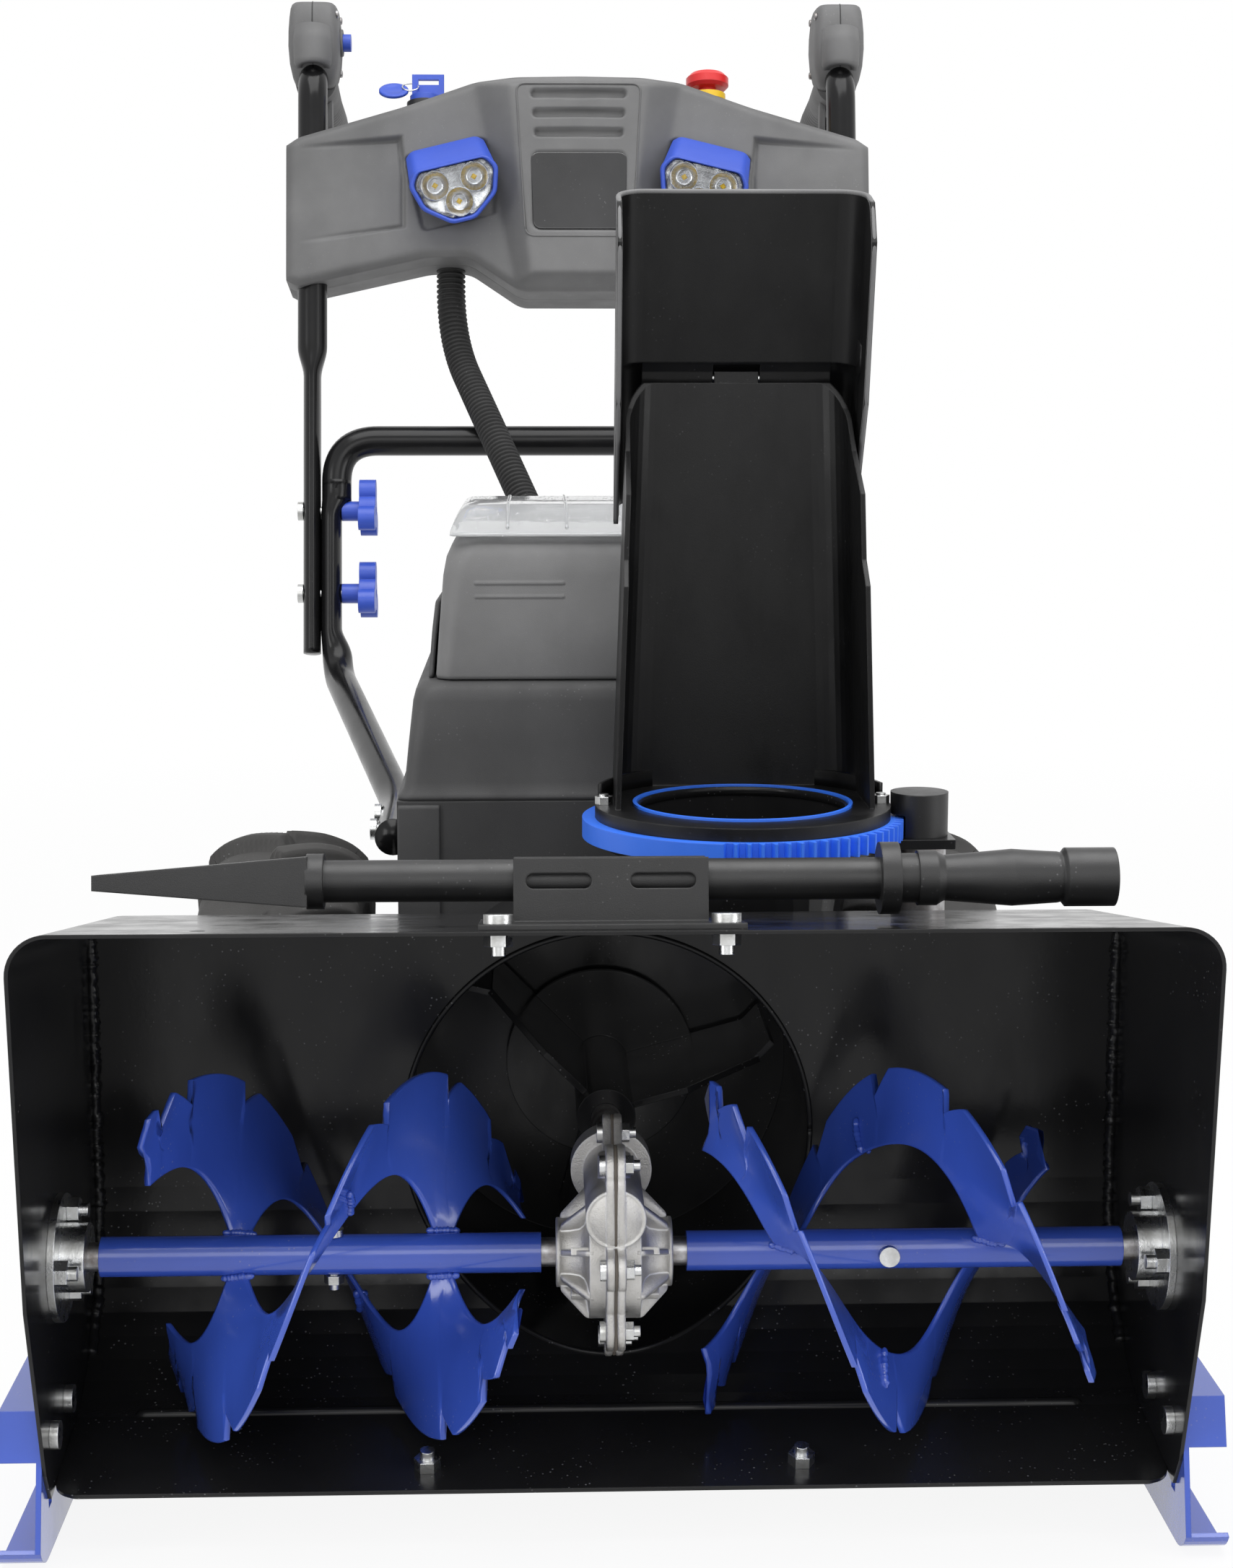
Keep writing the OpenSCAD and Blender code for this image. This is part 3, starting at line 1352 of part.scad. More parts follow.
module grip() {
    z0 = grip_root[2] + 10;
    y0 = grip_root[1];
    rear_z = grip_root[2] - 34;
    difference() {
        union() {
            hull() {
                translate([-housing_half, y0 + 2, z0]) cube([2 * housing_half, 76, grip_top - z0 - 14]);
                translate([-14, y0 + 8, grip_top - 1]) cube([28, 56, 1]);
            }
            hull() {
                rod_y(y0 + 36, 3, 20, 0, grip_root[2] - 7, $fn = 32);
                rod_y(overall_l - 12, 3, 17, 0, rear_z, $fn = 32);
                rod_y(overall_l - 1, 1, 12, 0, rear_z, $fn = 32);
            }
            for (s = [-1, 1]) translate([s * (lever_half + run_gap + 2.5) - 2.5, lever_y - 9, lever_z - 8])
                cube([5, 18, 34]);
        }
        translate([0, y0, grip_root[2]]) rotate([-90 - grip_pitch, 0, 0]) cylinder(d = tube_d + 2 * fit_gap, h = 64);
        rod_x(-30, 60, lever_pin_r + fit_gap, lever_y, lever_z);
    }
}

module grips() {
    color(grey_plastic) machine() difference() {
        both_sides() translate([handle_x, 0, 0]) grip();
        rod_x(-handle_x + housing_half - 14, 40, button_r + fit_gap, button_y, button_z);
    }
}

module lever(x) {
    rear = overall_l - 26;
    drop = 36;
    color(black_plastic) machine() translate([x, lever_y, lever_z]) {
        rod_x(-lever_half, 2 * lever_half, lever_hub_r);
        rod_x(-lever_half - 5, 2 * lever_half + 10, lever_pin_r);
        across(-lever_half, 2 * lever_half) polygon([[0, -lever_hub_r], [0, 2], [rear - lever_y, -drop + 8],
            [rear - lever_y, -drop]]);
    }
}

module lever_left() {
    lever(-handle_x);
}

module lever_right() {
    lever(handle_x);
}

module lockout_button() {
    color(blue_plastic) machine()
        rod_x(-handle_x + housing_half - 14 + button_travel + run_gap, 23, button_r, button_y, button_z);
}

// Ribbed conduit from the console's underside to the chassis: one hollow tube along three straight runs,
// whose two corners are eased over a leg before and after them
conduit_x = -119;
conduit_leg = 50;
conduit_drop = 66;
conduit_top = lean_point(conduit_x, panel_y, 380 - run_gap);
conduit_foot = [40, chassis_y + chassis_l, 335];
conduit_route = [conduit_top, conduit_top - conduit_drop * [0, sin(handle_lean), cos(handle_lean)],
    conduit_foot + [0, 90, 0], conduit_foot];

// Points from a to b, not counting b, about a step apart
function run_points(a, b, step) = let (n = 2 * round(norm(b - a) / step / 2)) [for (j = [0:n - 1]) a + (b - a) * j / n];

// Points round corner b between a and c, on the curve that touches both runs
function corner_points(a, b, c, step) =
    let (n = 2 * round(norm(c - a) / step / 2))
    [for (j = [0:n - 1]) let (t = j / n) (1 - t) * (1 - t) * a + 2 * t * (1 - t) * b + t * t * c];

function eased_line(p, leg, step) =
    let (a = p[1] + leg * unit(p[0] - p[1]), b = p[1] + leg * unit(p[2] - p[1]),
         c = p[2] + leg * unit(p[1] - p[2]), d = p[2] + leg * unit(p[3] - p[2]))
    concat(run_points(p[0], a, step), corner_points(a, p[1], b, step), run_points(b, c, step),
        corner_points(c, p[2], d, step), run_points(d, p[3], step), [p[3]]);

module conduit() {
    sides = 8;
    outer = conduit_d / 2;
    valley = outer - 2;
    bore = outer - 4;
    line = eased_line(conduit_route, conduit_leg, rib_pitch / 2);
    last = len(line) - 1;
    dirs = [for (i = [0:last]) unit(line[min(i + 1, last)] - line[max(i - 1, 0)])];
    ring = function (i, r) [for (k = [0:sides - 1])
        let (u = unit(cross([1, 0, 0], dirs[i])), v = cross(dirs[i], u), a = 360 * k / sides)
        line[i] + r * (u * cos(a) + v * sin(a))];
    skin = [for (i = [0:last]) each ring(i, i % 2 == 0 ? outer : valley)];
    bore_rows = concat([for (i = [0:6:last - 1]) i], [last]);
    hole = [for (i = bore_rows) each ring(i, bore)];
    first = len(skin);
    rim = first - sides;
    rear = first + len(hole) - sides;
    caps = [for (k = [0:sides - 1]) let (n = (k + 1) % sides) each
        [[k, n, first + n], [k, first + n, first + k],
         [rim + k, rear + n, rim + n], [rim + k, rear + k, rear + n]]];
    color(rubber) machine() polyhedron(concat(skin, hole),
        concat(tube_faces(len(line), sides, 0), [for (f = tube_faces(len(bore_rows), sides, first)) flip(f)], caps));
}

// Side faces of a tube of rings, numbered from start
function tube_faces(rows, sides, start) = [for (i = [0:rows - 2], k = [0:sides - 1])
    let (a = start + i * sides + k, b = start + i * sides + (k + 1) % sides) each
    [[a, b + sides, b], [a, a + sides, b + sides]]];

bucket_wrap();
bucket_back();
impeller_drum();
scraper_bar();
housing_bolts();
skid_shoes();
auger_bearings();
tool_holder();
gearbox_left();
gearbox_right();
chassis();
drive_belt();
motors();
hood();
batteries();
lower_frame();
handle_tubes();
handle_bolts();
console_front();
console_rear();
clear_covers();
lamp_housings();
estop_collar();
key_switch();
grips();
conduit();
pinion_cover();
auger_shaft();
worm_wheel();
auger_tubes();
flights_left();
flights_right();
shear_bolts();
impeller_shaft();
impeller();
driven_pulley();
motor_pulley();
axle();
axle_gear();
tyres();
wheel_rims();
drive_pinion();
ring_gear();
chute();
chute_bolts();
deflector();
hinge_pin();
chute_pinion();
battery_lid();
lid_window();
lever_left();
lever_right();
lockout_button();
key();
estop_button();
cleanout_tool();
knob_left_top();
knob_left_low();
knob_right_top();
knob_right_low();
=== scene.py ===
"""Looks of a two stage snowblower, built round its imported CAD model.

Lengths are metres in the row frame: +Z up, +Y towards the operator, the origin on the floor.
"""

import math

import bmesh
import bpy
import numpy as np
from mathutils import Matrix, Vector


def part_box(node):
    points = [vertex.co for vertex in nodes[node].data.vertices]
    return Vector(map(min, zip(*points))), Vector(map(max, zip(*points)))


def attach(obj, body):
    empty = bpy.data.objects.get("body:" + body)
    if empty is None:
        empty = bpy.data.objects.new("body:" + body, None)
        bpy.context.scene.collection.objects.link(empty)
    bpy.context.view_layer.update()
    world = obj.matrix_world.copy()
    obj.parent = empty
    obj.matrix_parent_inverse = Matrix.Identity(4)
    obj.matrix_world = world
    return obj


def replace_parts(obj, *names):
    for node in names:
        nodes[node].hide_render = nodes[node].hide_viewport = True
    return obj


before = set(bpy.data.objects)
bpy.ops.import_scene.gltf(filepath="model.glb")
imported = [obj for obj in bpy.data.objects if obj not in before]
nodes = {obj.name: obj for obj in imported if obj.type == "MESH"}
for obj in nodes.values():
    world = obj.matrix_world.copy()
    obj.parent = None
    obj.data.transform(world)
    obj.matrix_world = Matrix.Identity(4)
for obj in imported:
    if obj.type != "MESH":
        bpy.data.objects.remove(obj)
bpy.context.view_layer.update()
scene = bpy.context.scene
MM = 0.001

# Camera: fitted to the bucket's front corners, the console and the shoes in the photograph
IMAGE_H = 2172
FOCAL_PX = 3453
SENSOR_MM = 36
CAMERA_PLACE = (-0.041, -1.916, 0.623)
CAMERA_PITCH = math.radians(9)
CAMERA_YAW = math.radians(1.85)

camera_data = bpy.data.cameras.new("photo_camera")
camera_data.sensor_width = SENSOR_MM
camera_data.lens = FOCAL_PX / IMAGE_H * SENSOR_MM
camera = bpy.data.objects.new("photo_camera", camera_data)
camera.location = CAMERA_PLACE
camera.rotation_euler = (math.pi / 2 - CAMERA_PITCH, 0, -CAMERA_YAW)
scene.collection.objects.link(camera)
scene.camera = camera


# Mesh building: a shape is a (points, faces) pair

def unit(v):
    """Vectors along the last axis, scaled to length one."""
    return v / np.linalg.norm(v, axis=-1, keepdims=True)


def ramp(value, width):
    """0 below nought, 1 above a width and a straight rise between them."""
    return np.clip(value / width, 0, 1)


def turns(count):
    """Angles of one full turn in equal steps, without the last."""
    return np.linspace(0, 2 * math.pi, count, endpoint=False)


def grid_faces(rows, cols, wrap):
    """Four-sided faces of a grid of points numbered row by row; wrap joins the last column to the first."""
    i, j = np.meshgrid(np.arange(rows - 1), np.arange(cols if wrap else cols - 1), indexing="ij")
    k = (j + 1) % cols
    return np.stack([i * cols + j, i * cols + k, (i + 1) * cols + k, (i + 1) * cols + j], -1).reshape(-1, 4)


def capped_faces(rows, cols):
    """Faces of a grid whose columns wrap round, with its first and last rows each closed by one face."""
    ends = [tuple(range(cols))[::-1], tuple(range((rows - 1) * cols, rows * cols))]
    return [tuple(f) for f in grid_faces(rows, cols, True)] + ends


def looped_faces(rows, cols):
    """Faces of a grid that wraps round both ways, so that its last row joins its first."""
    return [tuple(f) for f in grid_faces(rows + 1, cols, True) % (rows * cols)]


def facing_out(points, faces):
    """Turns all faces round if the closed shape's signed volume, the sum of p0 . (p1 x p2) / 6, is negative."""
    tris = np.array([(f[0], a, b) for f in faces for a, b in zip(f[1:], f[2:])])
    p = points[tris] - points.mean(axis=0)
    turned_in = np.einsum("ij,ij->", p[:, 0], np.cross(p[:, 1], p[:, 2])) < 0
    return points, [f[::-1] for f in faces] if turned_in else faces


def lofted(rows):
    """Skin through closed outlines, given as an array of rows, points and x y z, closed at both ends."""
    return facing_out(rows.reshape(-1, 3), capped_faces(*rows.shape[:2]))


def beside(shape, x):
    """A shape moved along x."""
    return shape[0] + [x, 0, 0], shape[1]


def make_piece(name, points, faces, body, material, slot, smooth=True):
    """Puts points and faces into a mesh object at the origin that rides on a CAD body."""
    mesh = bpy.data.meshes.new(name)
    mesh.from_pydata(points.reshape(-1, 3).tolist(), [], [list(f) for f in faces])
    mesh.polygons.foreach_set("use_smooth", np.full(len(mesh.polygons), smooth))
    mesh.materials.append(material)
    mesh.update()
    piece = bpy.data.objects.new(name, mesh)
    scene.collection.objects.link(piece)
    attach(piece, body)
    return piece


def joined(parts):
    """Joins shapes into one, renumbering their faces."""
    points, faces, start = [], [], 0
    for p, f in parts:
        p = p.reshape(-1, 3)
        points.append(p)
        faces += [tuple(int(k) + start for k in face) for face in f]
        start += len(p)
    return np.vstack(points), faces


def tube_frames(path):
    """Two unit vectors across a path at each of its points, carried along it without twist.

    Each pair is the one before it, less its part along the new direction, made square again."""
    along = unit(np.gradient(path, axis=0))
    side = np.cross(along[0], [1.0, 0, 0] if abs(along[0, 0]) < 0.9 else [0, 1.0, 0])
    sides = []
    for t in along:
        side = unit(side - (side @ t) * t)
        sides.append(side)
    sides = np.array(sides)
    return sides, np.cross(along, sides)


def swept_tube(path, radii, count):
    """A round section carried along a path: point = path + r (u cos a + v sin a), with one r or one for each row."""
    u, v = tube_frames(path)
    a = turns(count)[None, :, None]
    points = path[:, None] + np.reshape(radii, (-1, 1, 1)) * (u[:, None] * np.cos(a) + v[:, None] * np.sin(a))
    return points.reshape(-1, 3), capped_faces(len(path), count)


def turned(profile, place, axis, count, closed=False):
    """A profile of (distance along, radius) turned about an axis: point = place + d axis + r (u cos a + v sin a)."""
    profile = np.asarray(profile, float)
    axis = unit(np.asarray(axis, float))
    u = unit(np.cross(axis, [1.0, 0, 0] if abs(axis[0]) < 0.9 else [0, 1.0, 0]))
    v = np.cross(axis, u)
    a = turns(count)[None, :, None]
    points = place + profile[:, None, :1] * axis + profile[:, None, 1:] * (u * np.cos(a) + v * np.sin(a))
    faces = looped_faces(len(points), count) if closed else capped_faces(len(points), count)
    return facing_out(points.reshape(-1, 3), faces)


# Materials
DUST = (0.32, 0.32, 0.33)
LOW_DARK = (0.06, 0.035, 0.02)


def add(tree, kind, inputs=None, **settings):
    """Adds a shader node: a socket among the inputs is linked, any other value is set on the node's own socket."""
    made = tree.nodes.new("ShaderNode" + kind)
    for key, value in settings.items():
        setattr(made, key, value)
    for key, value in (inputs or {}).items():
        if isinstance(value, bpy.types.NodeSocket):
            tree.links.new(value, made.inputs[key])
        else:
            made.inputs[key].default_value = value
    return made


def mixed(tree, share, a, b):
    """Colour that goes from a to b as the share goes from 0 to 1."""
    made = add(tree, "Mix", data_type="RGBA")
    for index, value in ((0, share), (6, a), (7, b)):
        if isinstance(value, bpy.types.NodeSocket):
            tree.links.new(value, made.inputs[index])
        else:
            made.inputs[index].default_value = value if index == 0 else (*value, 1)
    return made.outputs[2]


def ranged(tree, value, low, high, to_low, to_high):
    """Value stretched from one range to another and held inside it."""
    return add(tree, "MapRange", {"Value": value, "From Min": low, "From Max": high, "To Min": to_low,
                                  "To Max": to_high}).outputs["Result"]


def noise(tree, place, scale, detail, rough=0.55, stretch=None):
    """Noise with that many waves a metre, stretched along the axes if asked."""
    if stretch:
        place = add(tree, "Mapping", {"Vector": place, "Scale": stretch}).outputs["Vector"]
    return add(tree, "TexNoise", {"Vector": place, "Scale": scale, "Detail": detail, "Roughness": rough}).outputs["Fac"]


def object_place(tree):
    """Place of a shaded point in its object's own frame, in metres."""
    return add(tree, "TexCoord").outputs["Object"]


def product(tree, a, b):
    """Two values multiplied."""
    return add(tree, "Math", {0: a, 1: b}, operation="MULTIPLY").outputs["Value"]


def edge_share(tree, radius):
    """How far a rounded edge's normal leans from the face: 0 on flats, up to 1 along edges; and that rounded normal."""
    rounded = add(tree, "Bevel", {"Radius": radius}, samples=4).outputs["Normal"]
    flat = add(tree, "NewGeometry").outputs["Normal"]
    lean = add(tree, "VectorMath", {0: rounded, 1: flat}, operation="DOT_PRODUCT").outputs["Value"]
    return ranged(tree, lean, 0.995, 0.8, 0.0, 1.0), rounded


def new_material(name):
    """Empty node material and its tree, with an output."""
    material = bpy.data.materials.new(name)
    material.use_nodes = True
    material.node_tree.nodes.clear()
    return material, material.node_tree


def close(tree, shader):
    """Joins the last shader to the output."""
    tree.links.new(shader.outputs[0], add(tree, "OutputMaterial").inputs["Surface"])


def moulded(name, colour, rough, grain, depth, worn, edge, coat=0.0, blotch=0.25, specks=0.0, spread=0.07, wear=0.5,
            specular=0.5):
    """Paint, plastic or rubber: blotches of tone, a fine grain, smears of gloss, pale dust specks and worn edges.

    grain is in waves a metre and depth in metres; worn is the colour that shows along edges rubbed that wide."""
    material, tree = new_material(name)
    place = object_place(tree)
    cloud = noise(tree, place, 9, 5)
    smear = noise(tree, place, 34, 4, 0.6, (1, 1, 0.45))
    fine = noise(tree, place, grain, 2)
    tone = mixed(tree, ranged(tree, cloud, 0.3, 0.7, 0, 1), tuple(c * (1 - blotch) for c in colour),
                 tuple(min(1, c * (1 + blotch)) for c in colour))
    share, rounded = edge_share(tree, edge)
    rubbed = product(tree, share, ranged(tree, noise(tree, place, 70, 4), 0.42, 0.66, 0, wear))
    tone = mixed(tree, rubbed, tone, worn)
    if specks:
        dots = add(tree, "TexVoronoi", {"Vector": place, "Scale": 260.0, "Randomness": 1.0}).outputs["Distance"]
        dust = product(tree, ranged(tree, dots, 0.16, 0.1, 0, specks),
                       ranged(tree, noise(tree, place, 22, 3), 0.5, 0.66, 0, 1))
        tone = mixed(tree, dust, tone, DUST)
    bump = add(tree, "Bump", {"Height": fine, "Distance": depth, "Strength": 1.0, "Normal": rounded})
    shader = add(tree, "BsdfPrincipled", {
        "Base Color": tone, "Roughness": ranged(tree, smear, 0.32, 0.68, max(0.03, rough - spread), rough + spread),
        "Normal": bump.outputs["Normal"], "Specular IOR Level": specular, "Coat Weight": coat, "Coat Roughness": 0.12})
    close(tree, shader)
    return material


def cast_metal(name):
    """Sand-cast aluminium: a pebbled skin, dark pits, bright rubbed edges and patchy darkening low on the casting."""
    material, tree = new_material(name)
    place = object_place(tree)
    pebble = noise(tree, place, 900, 4, 0.7)
    pits = add(tree, "TexVoronoi", {"Vector": place, "Scale": 420.0}).outputs["Distance"]
    cloud = noise(tree, place, 40, 5, 0.65)
    share, rounded = edge_share(tree, 0.0015)
    tone = mixed(tree, ranged(tree, cloud, 0.3, 0.7, 0, 1), (0.42, 0.41, 0.39), (0.66, 0.65, 0.63))
    tone = mixed(tree, ranged(tree, pits, 0.12, 0.02, 0, 0.6), tone, (0.16, 0.155, 0.15))
    tone = mixed(tree, share, tone, (0.82, 0.82, 0.81))
    # Darker in patches towards the bottom of the casting.
    height = add(tree, "SeparateXYZ", {"Vector": place}).outputs["Z"]
    low_dark = product(tree, ranged(tree, height, 0.125, 0.095, 0, 1),
                  ranged(tree, noise(tree, place, 120, 4), 0.52, 0.62, 0, 0.8))
    tone = mixed(tree, low_dark, tone, LOW_DARK)
    bump = add(tree, "Bump", {"Height": pebble, "Distance": 0.00035, "Strength": 1.0, "Normal": rounded})
    shader = add(tree, "BsdfPrincipled", {
        "Base Color": tone, "Metallic": 0.85, "Roughness": ranged(tree, cloud, 0.3, 0.7, 0.34, 0.52),
        "Normal": bump.outputs["Normal"]})
    close(tree, shader)
    return material


def plated(name, colour, dark, rough, stretch=(1, 1, 1)):
    """Plated or turned metal: fine drawn lines, cloudy plating that darkens in patches, and bright edges."""
    material, tree = new_material(name)
    place = object_place(tree)
    lines = noise(tree, place, 700, 3, 0.6, stretch)
    cloud = noise(tree, place, 90, 4, 0.6)
    share, rounded = edge_share(tree, 0.0006)
    tone = mixed(tree, ranged(tree, cloud, 0.35, 0.7, 0, 1), colour, dark)
    tone = mixed(tree, share, tone, tuple(min(1, c * 1.15) for c in colour))
    bump = add(tree, "Bump", {"Height": lines, "Distance": 0.0001, "Strength": 1.0, "Normal": rounded})
    shader = add(tree, "BsdfPrincipled", {
        "Base Color": tone, "Metallic": 1.0, "Roughness": ranged(tree, cloud, 0.3, 0.7, rough - 0.06, rough + 0.1),
        "Normal": bump.outputs["Normal"]})
    close(tree, shader)
    return material


def clear_plastic(name, tint, rough, ripple, clear=1.0):
    """Clear moulded sheet: a faint ripple, hairline scuffs, a slight tint and, where clear is below 1, some haze."""
    material, tree = new_material(name)
    place = object_place(tree)
    wave = noise(tree, place, 60, 2)
    scuffs = noise(tree, place, 500, 4, 0.6, (1, 0.12, 0.4))
    bump = add(tree, "Bump", {"Height": wave, "Distance": ripple, "Strength": 1.0})
    shader = add(tree, "BsdfPrincipled", {
        "Base Color": (*tint, 1), "Roughness": ranged(tree, scuffs, 0.55, 0.75, rough, rough + 0.22),
        "Normal": bump.outputs["Normal"], "Transmission Weight": clear, "IOR": 1.46})
    close(tree, shader)
    return material


black_paint = moulded("black_paint", (0.0125, 0.0125, 0.013), 0.2, 420, 0.00003, (0.05, 0.05, 0.052), 0.0011,
                      specks=0.5, wear=0.35, specular=0.25)
tube_paint = moulded("tube_paint", (0.008, 0.008, 0.0085), 0.2, 260, 0.00002, (0.05, 0.05, 0.05), 0.001,
                     spread=0.05, wear=0.3, specular=0.22)
blue_enamel = moulded("blue_enamel", (0.040, 0.092, 0.48), 0.2, 300, 0.00006, (0.06, 0.11, 0.48), 0.0009,
                      coat=0.5, blotch=0.12, specks=0.3, spread=0.06, wear=0.3)
blue_plastic = moulded("blue_plastic", (0.030, 0.078, 0.47), 0.42, 1500, 0.00005, (0.10, 0.16, 0.55), 0.001,
                       blotch=0.1, specks=0.2)
ring_plastic = moulded("ring_plastic", (0.040, 0.19, 0.92), 0.42, 1500, 0.00004, (0.08, 0.18, 0.66), 0.0007,
                       blotch=0.1, specks=0.2)
chute_plastic = moulded("chute_plastic", (0.0055, 0.0055, 0.0058), 0.40, 1300, 0.00005, (0.055, 0.055, 0.056), 0.0012,
                        specks=0.1, spread=0.1, wear=0.7, blotch=0.6, specular=0.28)
tool_plastic = moulded("tool_plastic", (0.013, 0.013, 0.0135), 0.42, 1700, 0.00007, (0.07, 0.07, 0.07), 0.0012,
                       specks=0.25)
hood_plastic = moulded("hood_plastic", (0.040, 0.040, 0.041), 0.6, 2200, 0.00012, (0.075, 0.075, 0.076), 0.0015,
                       specks=0.2, wear=0.4)
# Console plastic: grey plastic whose base is painted lighter than its own grey, as a stand-in for its satin sheen. The
# grips and battery cases share it.
console_plastic_painted_sheen = moulded("console_plastic_painted_sheen", (0.110, 0.110, 0.111), 0.6, 2200, 0.00012, (0.15, 0.15, 0.15), 0.0015,
                          specks=0.2, wear=0.35)
# Lid plastic: the hood's charcoal plastic, painted lighter to stand in for the sheen that its tilted front and curved
# top catch.
lid_plastic_painted_sheen = moulded("lid_plastic_painted_sheen", (0.150, 0.150, 0.151), 0.55, 2200, 0.00012, (0.11, 0.11, 0.11), 0.0015,
                      specks=0.2, wear=0.35)
# Deflector rim: painted grey as a highlight along the black deflector's edge.
rim_painted_highlight = moulded("rim_painted_highlight", (0.15, 0.15, 0.152), 0.45, 1500, 0.00005, (0.24, 0.24, 0.24), 0.0006, wear=0.6)
smoked_pane = moulded("smoked_pane", (0.020, 0.020, 0.021), 0.10, 900, 0.00001, (0.05, 0.05, 0.05), 0.0008,
                      coat=0.4, blotch=0.4, specks=0.3, spread=0.05)
gasket_card = moulded("gasket_card", (0.10, 0.085, 0.07), 0.7, 2400, 0.00008, (0.3, 0.27, 0.22), 0.0004, blotch=0.3)
rubber = moulded("rubber", (0.014, 0.014, 0.014), 0.72, 1200, 0.00012, (0.045, 0.045, 0.044), 0.0012, specks=0.5)
tyre_rubber = moulded("tyre_rubber", (0.040, 0.039, 0.038), 0.78, 800, 0.0002, (0.10, 0.098, 0.095), 0.0016,
                      specks=0.6, wear=0.8)
stop_red = moulded("stop_red", (0.62, 0.018, 0.020), 0.36, 1400, 0.00004, (0.75, 0.14, 0.12), 0.0008, blotch=0.08)
collar_yellow = moulded("collar_yellow", (0.78, 0.50, 0.02), 0.42, 1400, 0.00004, (0.85, 0.66, 0.2), 0.0008,
                        blotch=0.08)
gearbox_metal = cast_metal("gearbox_metal")
zinc = plated("zinc", (0.70, 0.71, 0.72), (0.46, 0.46, 0.44), 0.27)
bare_steel = plated("bare_steel", (0.42, 0.42, 0.43), (0.16, 0.14, 0.13), 0.38, (0.15, 1, 1))
worm_bronze = plated("worm_bronze", (0.60, 0.40, 0.16), (0.32, 0.19, 0.07), 0.33)
mirror_cup = plated("mirror_cup", (0.60, 0.61, 0.62), (0.30, 0.30, 0.31), 0.14)
lens_clear = clear_plastic("lens_clear", (0.97, 0.98, 0.99), 0.03, 0.00004)
lid_clear = clear_plastic("lid_clear", (0.93, 0.94, 0.95), 0.08, 0.0002, 0.72)

FINISHES = {
    black_paint: "bucket_wrap bucket_back impeller_drum scraper_bar impeller wheel_rims",
    tube_paint: "lower_frame handle_tubes",
    blue_enamel: "skid_shoes auger_tubes flights_left flights_right",
    blue_plastic: "lamp_housings lockout_button key knob_left_top knob_left_low knob_right_top knob_right_low",
    ring_plastic: "ring_gear",
    chute_plastic: "chute deflector",
    tool_plastic: "tool_holder cleanout_tool chute_pinion pinion_cover key_switch lever_left lever_right",
    hood_plastic: "chassis hood battery_lid",
    console_plastic_painted_sheen: "console_front console_rear grips batteries",
    rubber: "drive_belt conduit",
    tyre_rubber: "tyres",
    zinc: "housing_bolts auger_bearings handle_bolts shear_bolts chute_bolts hinge_pin",
    gearbox_metal: "gearbox_left gearbox_right",
    bare_steel: "motors auger_shaft impeller_shaft driven_pulley motor_pulley axle axle_gear drive_pinion",
    worm_bronze: "worm_wheel",
    lens_clear: "clear_covers",
    lid_clear: "lid_window",
    stop_red: "estop_button",
    collar_yellow: "estop_collar",
}
for finish, names in FINISHES.items():
    for name in names.split():
        nodes[name].data.materials.clear()
        nodes[name].data.materials.append(finish)


# Stage: a pale floor that keeps the shadow, a white surround and soft lamps
FLOOR_HALF = 9
FLOOR_LINES = 13
FLOOR_Z = -0.0005
# Name, place, aim, size and power of each lamp
SOFTBOXES = (("top_softbox", (0.2, -0.6, 3.0), (0, 0, 0.4), (3.0, 2.2), 80),
             ("left_softbox", (-2.4, -1.9, 1.0), (-0.1, -0.4, 0.25), (1.0, 1.8), 22),
             ("right_softbox", (2.4, -1.7, 1.1), (0.1, -0.4, 0.25), (1.0, 1.8), 18),
             ("front_softbox", (0.0, -3.4, 1.6), (0, -0.3, 0.3), (2.2, 1.2), 15))


def seen_rays(tree):
    """1 for rays that reach the eye straight, by reflection or through clear pieces, and 0 for others."""
    path = add(tree, "LightPath").outputs
    either = add(tree, "Math", {0: path["Is Camera Ray"], 1: path["Is Glossy Ray"]}, operation="MAXIMUM").outputs[0]
    return add(tree, "Math", {0: either, 1: path["Is Transmission Ray"]}, operation="MAXIMUM").outputs[0]


